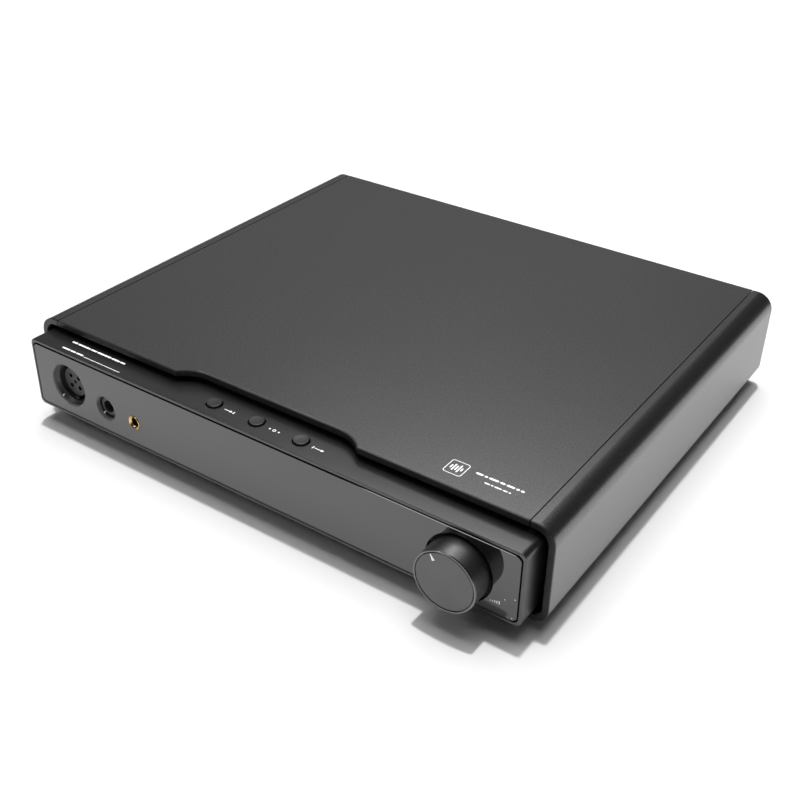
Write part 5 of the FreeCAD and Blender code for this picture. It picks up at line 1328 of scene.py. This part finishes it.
@dataclass
class VolumeControl(Assembly):
    """The volume knob on its shaft, and the fixed bushing, nut and potentiometer."""

    body: str = "volume_control"
    segments: int = 160
    chamfer: float = 0.2
    lip: float = 0.95
    ring_depth: float = 0.55
    gap: float = 0.15
    disc_depth: float = 1.5
    hollow_radius: float = 11.5
    hollow_depth: float = 3.4
    bore: float = 3.02
    bore_end: float = 3.2
    shade_washer_radius: float = 15.75
    shade_washer_hole: float = 11.6
    shade_washer_thickness: float = 0.35
    shade_washer_gap: float = 0.08
    pointer_angle: float = -31.5
    pointer_start: float = 9.9
    pointer_length: float = 3.2
    pointer_proud: float = 0.06

    def build(self) -> None:
        """Turns the knob and its face and dresses the shaft parts."""
        box = Extent.of("volume_knob")
        centre = box.centre
        metal = BlastedMetal("knob_side_satin", "knob_finish", (0.17, 0.17, 0.172), 0.37, depth=0.004)
        face = FacedMetal("knob_face_fine_turned", "knob_finish", (0.112, 0.112, 0.114), 0.3,
                          x=centre.x, z=centre.z)
        self.knob(box, metal)
        self.face_disc(face)
        self.pointer(centre, box.low.y)
        self.keep(Palette.SCREW, "knob_set_screw")
        self.keep(Palette.STEEL, "volume_shaft", "volume_nut")
        self.keep(Palette.GILT, "volume_bushing")
        self.keep(Palette.TINNED, "volume_pot_case")

    def knob(self, box: Extent, finish: Finish) -> None:
        """The knob: a turned cup with a bright chamfer round its face, and a near-black washer behind it that
        paints shade into the gap.

        Args:
            box: Box of the CAD knob.
            finish: Finish of its side.
        """
        radius = box.size.x / 2
        depth = box.size.y
        seat = radius - self.lip
        step = -self.ring_depth
        roof = self.hollow_depth - depth
        front = points((seat, -self.disc_depth), (seat, step), (radius - 0.12, step))
        side = points((radius, step - 0.15), (radius, 0.5 - depth), (radius - 0.35, -depth))
        hollow = points((self.hollow_radius, -depth), (self.hollow_radius, roof), (self.bore, roof))
        inside = points((self.bore, -self.bore_end), (0.0, -self.bore_end), (0.0, -self.disc_depth))
        origin = Vector((box.centre.x, box.low.y, box.centre.z))
        cup = Turned(front + side + hollow + inside, self.segments, closed=True)
        self.mount(cup.piece("knob_body", Facing.FRONT, origin), finish, "volume_knob")
        inner = seat + 0.12
        outer = radius - 0.04
        ring = points((inner, step), (inner, -0.06), (inner + 0.06, 0.0), (radius - self.chamfer, 0.0),
                      (outer, -self.chamfer), (outer, step))
        bright = Turned(ring, self.segments, closed=True)
        self.mount(bright.piece("knob_bright_ring", Facing.FRONT, origin), Palette.BRIGHT_CUT)
        # Painted shade: a near-black washer in the knob's well darkens the gap and its reflection in the
        # panel.
        hole = circle(0, 0, self.shade_washer_hole, 96)
        shade_washer = SheetCut(circle(0, 0, self.shade_washer_radius, 120), self.shade_washer_thickness, [hole], rim=0.08)
        well = Vector((box.centre.x, box.high.y + self.shade_washer_gap, box.centre.z))
        self.mount(shade_washer.piece("knob_shade_washer", Facing.FRONT, well), Palette.SHADE_WASHER, body="chassis")

    def pointer(self, centre: Vector, front: float) -> None:
        """The white wedge on the face, its point outward.

        Args:
            centre: Middle of the knob.
            front: Height of the knob's face along y.
        """
        inner = self.pointer_start
        outer = inner + self.pointer_length
        wedge = points((inner, -0.75), (outer, -0.18), (outer, 0.18), (inner, 0.75))
        turn = Matrix.Rotation(math.radians(90 - self.pointer_angle), 2)
        inlay = SheetCut([turn @ corner for corner in wedge], 0.3, rim=0.02, rim_steps=1)
        place = Vector((centre.x, front + self.pointer_proud, centre.z))
        self.mount(inlay.piece("knob_wedge", Facing.FRONT, place), Palette.WHITE, "knob_pointer")

    def face_disc(self, finish: Finish) -> None:
        """The disc let into the knob's face, with a fine edge.

        Args:
            finish: Finish of the disc.
        """
        box = Extent.of("knob_face_disc")
        radius = box.size.x / 2 - self.gap
        depth = box.size.y
        profile = points((0.0, 0.0), (radius - 0.12, 0.0), (radius, -0.12), (radius, -depth), (0.0, -depth))
        origin = Vector((box.centre.x, box.low.y, box.centre.z))
        disc = Turned(profile, self.segments)
        self.mount(disc.piece("knob_face", Facing.FRONT, origin), finish, "knob_face_disc")


@dataclass
class RearConnections(Assembly):
    """The rear panel and every connector on it."""

    shell_half: float = 13.0
    pin_circle: float = 5.0
    pin_radius: float = 1.2
    pin_angles: tuple[float, ...] = (90.0, -30.0, 210.0)
    flange: float = 5.4
    barrel: float = 4.15
    mouth: float = 3.3
    core_wall: float = 1.75
    washer: float = 6.2
    tail_bore: float = 3.2

    def build(self) -> None:
        """Dresses the panel, the sockets, the switch and the drawer."""
        self.keep(Palette.REAR, "rear_panel")
        self.keep(Palette.SOCKET, "mains_inlet", "fuse_drawer", "rocker_frame", "balanced_shells",
                  "optical_case")
        self.keep(Palette.CONTACT, "inlet_blades")
        self.balanced_pins()
        self.phono_sockets()
        self.keep(Palette.FUSE, "mains_fuse")
        self.keep(Palette.ROCKER, "power_rocker")
        self.keep(Palette.WHITE_PLASTIC, "usb_tongue")
        self.keep(Palette.TINNED, "usb_shell")
        self.keep(Palette.SHUTTER, "optical_shutter")

    def balanced_pins(self) -> None:
        """Six round-nosed pins, three in each balanced output."""
        pins = Extent.of("balanced_pins")
        shells = Extent.of("balanced_shells")
        length = pins.size.y
        radius = self.pin_radius
        nose = points((0, length), (0.5, length - 0.08), (0.9, length - 0.35), (radius, length - 1.0))
        middles = (shells.low.x + self.shell_half, shells.high.x - self.shell_half)
        ring = self.pin_circle
        places = [
            Vector((x + ring * math.cos(angle), pins.low.y, shells.centre.z + ring * math.sin(angle)))
            for x in middles for angle in map(math.radians, self.pin_angles)
        ]
        turned = Turned(nose + points((radius, 0), (0, 0)), segments=32)
        piece = turned.piece("round_nosed_pins", Facing.BACK, *places)
        self.mount(piece, Palette.CONTACT, "balanced_pins")

    def phono_sockets(self) -> None:
        """Three phono sockets: gilt barrels, their cores and the washers under them."""
        box = Extent.of("phono_barrels")
        seat = Extent.of("phono_insulators").high.y
        reach = box.high.y - seat
        edge = self.flange
        left, right = box.low.x + edge, box.high.x - edge
        low, high = box.low.z + edge, box.high.z - edge
        places = [Vector((left, seat, high)), Vector((left, seat, low)), Vector((right, seat, low))]
        tail = box.low.y - seat
        mouth = self.mouth
        outer = self.barrel
        bore = points((0, tail + 2), (1.7, tail + 2), (1.7, reach - 0.9), (mouth, reach - 0.9),
                      (mouth, reach - 0.2))
        lip = points((mouth + 0.2, reach), (outer - 0.2, reach), (outer, reach - 0.2))
        waist = points((outer, 3.4), (4.0, 3.3), (4.0, 3.0), (outer, 2.9), (outer, 1.5), (3.9, 1.4),
                       (3.9, 1.2))
        flange = points((edge - 0.2, 1.2), (edge, 1.0), (edge, 0), (self.tail_bore, 0),
                        (self.tail_bore, tail), (0, tail))
        barrels = Turned(bore + lip + waist + flange, segments=64)
        piece = barrels.piece("phono_sleeves", Facing.BACK, *places)
        self.mount(piece, Palette.GILT, "phono_barrels")
        near = self.core_wall
        far = mouth - 0.05
        core = points((near, reach - 0.88), (far, reach - 0.88), (far, reach - 0.5),
                      (near + 0.2, reach - 0.5), (near, reach - 0.7))
        cores = Turned(core, segments=64, closed=True)
        self.mount(cores.piece("phono_cores", Facing.BACK, *places), Palette.WHITE_PLASTIC)
        hole = self.tail_bore + 0.02
        collar = points((hole, -3.7), (4.18, -3.7), (4.18, -1.2), (self.washer, -1.2), (self.washer, -0.3),
                        (self.washer - 0.3, 0), (hole, 0))
        washers = Turned(collar, segments=64, closed=True)
        piece = washers.piece("phono_washers", Facing.BACK, *places)
        self.mount(piece, Palette.WHITE_PLASTIC, "phono_insulators")


@dataclass
class Electronics(Assembly):
    """What the case holds: boards, supply parts and the mains transformer.

    A chip is given as its middle and its size, and a row as its start and its count.
    """

    chips: tuple[tuple[float, float, float, float], ...] = (
        (-50.0, -40.0, 7.0, 10.0), (-50.0, -22.0, 7.0, 10.0), (-40.0, -66.0, 14.0, 14.0),
        (14.0, 54.0, 14.0, 14.0), (14.0, 80.0, 9.0, 12.0), (-105.0, 28.0, 6.0, 10.0),
        (-105.0, 46.0, 6.0, 10.0), (-76.0, -70.0, 6.0, 10.0), (-62.0, 82.0, 8.0, 12.0),
    )
    rows: tuple[tuple[float, float, int], ...] = (
        (-64.0, -58.0, 6), (-40.0, -34.0, 7), (-40.0, -20.0, 7), (-24.0, 68.0, 8), (-24.0, 74.0, 8),
        (2.0, 68.0, 10), (-88.0, 70.0, 7), (-100.0, 10.0, 12), (-62.0, 8.0, 12), (2.0, 32.0, 9),
        (-112.0, -62.0, 9), (-118.0, -74.0, 8),
    )
    leg_pitch: float = 1.27
    leg_reach: float = 1.3
    part_pitch: float = 2.6
    core_bore: float = 13.0
    core_corner: float = 7.0
    can_radius: float = 9.0
    can_pitch: float = 20.0
    can_rows: int = 3
    vent_arm: float = 5.2
    vent_half: float = 0.22

    def build(self) -> None:
        """Dresses the parts inside."""
        core = Extent.of("mains_transformer").centre
        copper = Windings("transformer_windings", "winding_tape", (0.62, 0.3, 0.09), 0.25, core.x, core.y)
        self.keep(Palette.BOARD, "main_board")
        self.keep(Palette.GILT, "board_standoffs")
        self.capacitors()
        self.keep(Palette.HEATSINK, "regulator_heatsinks")
        self.keep(Palette.TINNED, "converter_shield")
        self.keep(Palette.RELAY, "output_relays")
        self.transformer(copper)
        self.keep(Palette.STEEL, "transformer_clamp")
        self.keep(Palette.RIBBON, "ribbon_cable")
        self.small_parts()

    def transformer(self, finish: Finish) -> None:
        """The ring-core transformer, wound all round.

        Args:
            finish: Finish of its windings.
        """
        box = Extent.of("mains_transformer")
        height = box.size.z
        outer = box.size.x / 2
        bore = self.core_bore
        turn = self.core_corner
        corners = [Corner(bore, 0, 4), Corner(outer, 0, turn), Corner(outer, height, turn),
                   Corner(bore, height, turn)]
        ring = Turned(rounded(corners), segments=144, closed=True)
        place = Vector((box.centre.x, box.centre.y, box.low.z))
        self.mount(ring.piece("ring_core_windings", Facing.UP, place), finish, "mains_transformer")

    def capacitors(self) -> None:
        """Six reservoir capacitors: crimped sleeves and bare tops with a vent cross."""
        box = Extent.of("reservoir_capacitors")
        radius = self.can_radius
        height = box.size.z
        places = [
            Vector((x, box.low.y + radius + self.can_pitch * row, box.low.z))
            for x in (box.low.x + radius, box.high.x - radius) for row in range(self.can_rows)
        ]
        crimp = points((0, 0), (radius - 0.3, 0), (radius, 0.5), (radius, 2.3), (radius - 0.5, 2.9),
                       (radius, 3.5), (radius, height - 0.6))
        top = points((radius - 0.3, height - 0.1), (radius - 0.8, height), (radius - 1.1, height - 0.3),
                     (radius - 1.2, height - 0.6), (0, height - 0.6))
        sleeves = Turned(crimp + top, segments=72)
        piece = sleeves.piece("capacitor_sleeves", Facing.UP, *places)
        self.mount(piece, Palette.SLEEVE, "reservoir_capacitors")
        arm = self.vent_arm
        half = self.vent_half
        cross = points((arm, half), (half, half), (half, arm), (-half, arm), (-half, half), (-arm, half),
                       (-arm, -half), (-half, -half), (-half, -arm), (half, -arm), (half, -half),
                       (arm, -half))
        disc = SheetCut(circle(0, 0, radius - 1.3), 0.3, [cross], rim=0.05)
        tops = [disc.piece("top", Facing.UP, place + Vector((0, 0, height - 0.3))) for place in places]
        self.mount(together("capacitor_tops", tops), Palette.TINNED)

    def small_parts(self) -> None:
        """Chips with their legs and rows of small parts on the main board."""
        top = Extent.of("main_board").high.z
        bodies, legs = [], []
        for x, y, width, length in self.chips:
            bodies.append((Vector((x - width / 2, y - length / 2, top + 0.15)),
                           Vector((x + width / 2, y + length / 2, top + 1.7))))
            for step in range(int(length / self.leg_pitch)):
                along = y - length / 2 + 0.9 + step * self.leg_pitch
                for side in (-1, 1):
                    inner, outer = sorted((x + side * width / 2, x + side * (width / 2 + self.leg_reach)))
                    legs.append((Vector((inner, along - 0.2, top)), Vector((outer, along + 0.2, top + 0.5))))
        self.mount(blocks("board_chips", bodies, 0.12), Palette.SWITCH_CASE)
        self.mount(blocks("chip_legs", legs, 0.04), Palette.CONTACT)
        dice = random.Random(7)
        middles, caps = [], []
        for x, y, count in self.rows:
            for step in range(count):
                at = Vector((x + step * self.part_pitch, y + dice.choice((0.0, 0.0, 0.6)), top))
                middles.append((at + Vector((0.0, 0.45, 0.0)), at + Vector((1.3, 1.75, 0.7))))
                caps += [(at, at + Vector((1.3, 0.5, 0.72))),
                         (at + Vector((0, 1.7, 0)), at + Vector((1.3, 2.2, 0.72)))]
        self.mount(blocks("board_passives", middles, 0.05), Palette.RELAY)
        self.mount(blocks("passive_caps", caps, 0.05), Palette.TINNED)


@dataclass
class PrintedMarks(Assembly):
    """Plain printed marks: bars, dots and simple signs, with no lettering.

    A line of bars is given as its start, its middle, the bars' width, the gap between them and
    their lengths.
    """

    ink: float = 0.02
    lid_lines: tuple[tuple[float, float, float, float, tuple[float, ...]], ...] = (
        (100.2, -96.6, 1.15, 0.6, (3.4, 1.5, 4.6, 2.4, 3.8, 1.5, 1.6)),
        (106.4, -100.4, 0.75, 0.5, (2.6, 1.0, 3.4, 2.2, 1.0)),
    )
    block_lines: tuple[tuple[float, float, float, float, tuple[float, ...]], ...] = (
        (-119.5, -114.0, 1.05, 0.35, (3.6, 8.6, 4.0, 9.4, 5.4, 3.2)),
        (-119.5, -120.4, 1.0, 0.35, (5.4, 3.4, 4.7)),
        (-104.6, -120.9, 0.32, 0.0, (24.4,)),
    )
    level_heights: tuple[float, ...] = (2.6, 4.6, 3.4, 5.4, 2.2)
    level_pitch: float = 1.25
    sign_line: float = -115.2
    scale_start: float = 125.3
    scale_base: float = 17.4

    def build(self) -> None:
        """Prints the marks of the lid, the block and the gloss panel."""
        lid = Extent.of("top_plate").high.z
        block = Extent.of("fascia_frame").high.z
        glass = Extent.of("gloss_panel").low.y
        self.printed("lid_marks", self.lid_marks(), Facing.UP, Vector((0, 0, lid)))
        self.printed("block_marks", self.block_marks(), Facing.UP, Vector((0, 0, block)))
        self.printed("panel_marks", self.panel_marks(), Facing.FRONT, Vector((0, glass, 0)))

    def printed(self, name: str, shapes: list[Shape], facing: Facing, origin: Vector) -> None:
        """Lays shapes of ink on a surface as one piece.

        Args:
            name: The piece's name.
            shapes: For each shape its outline and then its holes.
            facing: The way the surface looks.
            origin: A point of the surface that stands for the shapes' own origin.
        """
        lifted = origin + facing.outward * self.ink
        cuts = [
            SheetCut(outline, self.ink * 1.5, list(holes), rim=0.002, rim_steps=0).piece(name, facing, lifted)
            for outline, *holes in shapes
        ]
        self.mount(together(name, cuts), Palette.WHITE)

    @staticmethod
    def bar(x: float, y: float, length: float, width: float) -> Shape:
        """A bar with round ends that starts at x and is centred on y."""
        return [slot_outline(x + length / 2, y, length / 2, width / 2)]

    def broken_line(self, x: float, y: float, width: float, gap: float, lengths: Sequence[float]
                    ) -> list[Shape]:
        """Bars one after the other.

        Args:
            x: Where the first bar starts.
            y: Middle of the bars.
            width: Width of the bars.
            gap: From the end of one bar to the start of the next.
            lengths: Length of each bar.

        Returns:
            The bars' shapes.
        """
        shapes = []
        for length in lengths:
            shapes.append(self.bar(x, y, length, width))
            x += length + gap
        return shapes

    def lid_marks(self) -> list[Shape]:
        """A rounded frame round five level bars, and two broken lines beside it.

        Returns:
            The shapes, seen from above.
        """
        centre = Vector((92.0, -98.5))
        outer = Vector((4.35, 4.65))
        line = Vector((0.32, 0.32))
        shapes = [[
            box_outline(centre - outer, centre + outer, 1.3),
            box_outline(centre - outer + line, centre + outer - line, 1.0),
        ]]
        for step, height in enumerate(self.level_heights):
            x = centre.x - 2 * self.level_pitch + step * self.level_pitch
            low = Vector((x - 0.33, centre.y - height / 2))
            shapes.append([box_outline(low, low + Vector((0.66, height)), 0.3)])
        for line in self.lid_lines:
            shapes += self.broken_line(*line)
        return shapes

    def block_marks(self) -> list[Shape]:
        """Broken lines over the sockets and a sign beside each button.

        Returns:
            The shapes, seen from above.
        """
        shapes = []
        for line in self.block_lines:
            shapes += self.broken_line(*line)
        for x, build in ((-19.6, self.arrow_in), (5.8, self.dots), (30.4, self.arrow_out)):
            shapes += build(x, self.sign_line)
        return shapes

    def arrow(self, x: float, y: float, length: float) -> list[Shape]:
        """A shaft with a solid head that points right.

        Args:
            x: Where the shaft starts.
            y: Middle of the shaft.
            length: From its start to its tip.

        Returns:
            The shapes of the shaft and the head.
        """
        tip = x + length
        head = [Vector((tip - 1.5, y - 0.75)), Vector((tip, y)), Vector((tip - 1.5, y + 0.75))]
        return [self.bar(x, y, length - 1.3, 0.38), [head]]

    def arrow_in(self, x: float, y: float) -> list[Shape]:
        """An arrow that runs up to a bar."""
        low = Vector((x + 5.2, y - 0.85))
        return self.arrow(x, y, 4.7) + [[box_outline(low, low + Vector((0.45, 1.7)))]]

    def arrow_out(self, x: float, y: float) -> list[Shape]:
        """An arrow that leaves a bar."""
        low = Vector((x, y - 0.85))
        return [[box_outline(low, low + Vector((0.45, 1.7)))]] + self.arrow(x + 0.9, y, 5.2)

    def dots(self, x: float, y: float) -> list[Shape]:
        """A ring between two dots."""
        ring = [circle(x + 3.4, y, 0.85, 32), circle(x + 3.4, y, 0.5, 32)]
        return [[circle(x + 0.9, y, 0.45, 24)], ring, [circle(x + 5.9, y, 0.45, 24)]]

    def panel_marks(self) -> list[Shape]:
        """A small scale sign at the end of the knob's travel and dots at the corner.

        Returns:
            The shapes, seen from the front.
        """
        shapes = []
        for step, height in enumerate((0.5, 0.8, 1.1, 1.4, 1.7)):
            low = Vector((self.scale_start + step, self.scale_base))
            shapes.append([box_outline(low, low + Vector((0.34, height)))])
        for x, z, radius in ((131.8, 21.1, 0.24), (135.5, 13.3, 0.2), (136.3, 23.3, 0.26)):
            shapes.append([circle(x, z, radius, 20)])
        return shapes


# ---- Studio ----

@dataclass
class Softbox:
    """A rectangular lamp that looks at a point."""

    name: str
    place: Vector
    target: Vector
    width: float
    height: float
    power: float

    def hang(self) -> None:
        """Puts the lamp in the scene, turned to its target."""
        lamp = bpy.data.lights.new(self.name, "AREA")
        lamp.shape = "RECTANGLE"
        lamp.size = self.width
        lamp.size_y = self.height
        lamp.energy = self.power
        holder = bpy.data.objects.new(self.name, lamp)
        holder.location = self.place
        holder.rotation_euler = (self.target - self.place).to_track_quat("-Z", "Y").to_euler()
        bpy.context.scene.collection.objects.link(holder)


@dataclass
class Studio:
    """Pale floor, soft lamps and the camera; none of it is part of the unit."""

    floor_half: float = 6.0
    floor_tone: float = 0.82
    sky_tone: float = 0.06
    backdrop_tone: float = 0.56
    sun_power: float = 2.0
    sun_width: float = 2.5
    sun_lean: tuple[float, float] = (-6.5, -4.0)
    eye: Vector = field(default_factory=lambda: Vector((0.2851, -0.4243, 0.3282)))
    heading: float = 34.2266
    tilt: float = 32.7332
    roll: float = 1.0825
    lens: float = 51.6
    sensor: float = 36.0

    def build(self) -> None:
        """Sets the floor, the sky, the lamps and the camera."""
        bpy.context.scene.view_settings.view_transform = "Standard"
        self.floor()
        self.sky()
        for lamp in self.lamps():
            lamp.hang()
        self.sun()
        self.camera()

    def floor(self) -> None:
        """A wide, plain, matt floor at the height of the feet."""
        build = bmesh.new()
        half = self.floor_half
        corners = [(-half, -half, 0), (half, -half, 0), (half, half, 0), (-half, half, 0)]
        build.faces.new([build.verts.new(corner) for corner in corners])
        mesh = bpy.data.meshes.new("floor")
        build.to_mesh(mesh)
        build.free()
        floor = bpy.data.objects.new("studio_floor", mesh)
        bpy.context.scene.collection.objects.link(floor)
        tone = self.floor_tone
        sheet = Recipe("floor_paper", (tone, tone, tone), 0.9)
        sheet.set("IOR", 1.2)
        floor.data.materials.append(sheet.material)

    def sky(self) -> None:
        """A dim room for the reflections, behind a pale backdrop for the eye."""
        world = bpy.data.worlds.new("studio_sky")
        world.use_nodes = True
        tree = world.node_tree
        room = tree.nodes["Background"]
        room.inputs["Color"].default_value = (self.sky_tone, self.sky_tone, self.sky_tone, 1.0)
        backdrop = tree.nodes.new("ShaderNodeBackground")
        tone = self.backdrop_tone
        backdrop.inputs["Color"].default_value = (tone, tone, tone, 1.0)
        eye_ray = tree.nodes.new("ShaderNodeLightPath").outputs["Is Camera Ray"]
        choice = tree.nodes.new("ShaderNodeMixShader")
        tree.links.new(eye_ray, choice.inputs[0])
        tree.links.new(room.outputs[0], choice.inputs[1])
        tree.links.new(backdrop.outputs[0], choice.inputs[2])
        tree.links.new(choice.outputs[0], tree.nodes["World Output"].inputs["Surface"])
        bpy.context.scene.world = world

    @staticmethod
    def lamps() -> list[Softbox]:
        """The soft lamps: a large box overhead, a box and a wall of light behind, a strip in front.

        Returns:
            The lamps, not yet in the scene.
        """
        middle = Vector((0.0, 0.0, 0.03))
        return [
            Softbox("overhead_box", Vector((-0.05, 0.12, 1.5)), middle, 1.2, 1.2, 17.0),
            Softbox("rear_box", Vector((-0.75, 1.35, 2.1)), middle, 0.9, 0.7, 8.0),
            Softbox("edge_strip", Vector((-0.62, -0.80, 0.92)), middle, 0.7, 0.12, 1.3),
            Softbox("rear_wall", Vector((-1.5, 2.2, 1.35)), middle, 2.6, 1.3, 2.7),
        ]

    def sun(self) -> None:
        """A hard light from just behind the zenith, which draws the shadow in front of the unit.

        Reflections leave it out, so that the lid does not burn out when it is seen from above.
        """
        lamp = bpy.data.lights.new("zenith", "SUN")
        lamp.energy = self.sun_power
        lamp.angle = math.radians(self.sun_width)
        holder = bpy.data.objects.new("zenith", lamp)
        holder.rotation_euler = (*map(math.radians, self.sun_lean), 0.0)
        holder.visible_glossy = False
        bpy.context.scene.collection.objects.link(holder)

    def camera(self) -> None:
        """The camera, a little above the front right corner."""
        heading, tilt, roll = (math.radians(angle) for angle in (self.heading, self.tilt, self.roll))
        level = math.cos(tilt)
        forward = Vector((-math.sin(heading) * level, math.cos(heading) * level, -math.sin(tilt)))
        right = Vector((math.cos(heading), math.sin(heading), 0))
        up = right.cross(forward)
        turned_right = math.cos(roll) * right + math.sin(roll) * up
        turned_up = math.cos(roll) * up - math.sin(roll) * right
        data = bpy.data.cameras.new("camera")
        data.lens = self.lens
        data.sensor_width = self.sensor
        data.clip_start = 0.01
        camera = bpy.data.objects.new("camera", data)
        basis = Matrix((turned_right, turned_up, -forward)).transposed().to_4x4()
        camera.matrix_world = Matrix.Translation(self.eye) @ basis
        bpy.context.scene.collection.objects.link(camera)
        bpy.context.scene.camera = camera


def main() -> None:
    """Builds the studio and every sub-assembly and reports each piece."""
    logging.basicConfig(level=logging.INFO, format="%(name)s: %(message)s")
    Studio().build()
    unit: list[Assembly] = [
        Case(), FrontBlock(), HeadphoneSockets(), PushButtons(), VolumeControl(), RearConnections(),
        Electronics(), PrintedMarks(),
    ]
    for assembly in unit:
        assembly.build()
        for piece in assembly.pieces:
            LOG.info("%s: %s on %s", type(assembly).__name__, piece.name, body_of(piece)[0])


if __name__ == "__main__":
    main()
    bpy.context.view_layer.update()
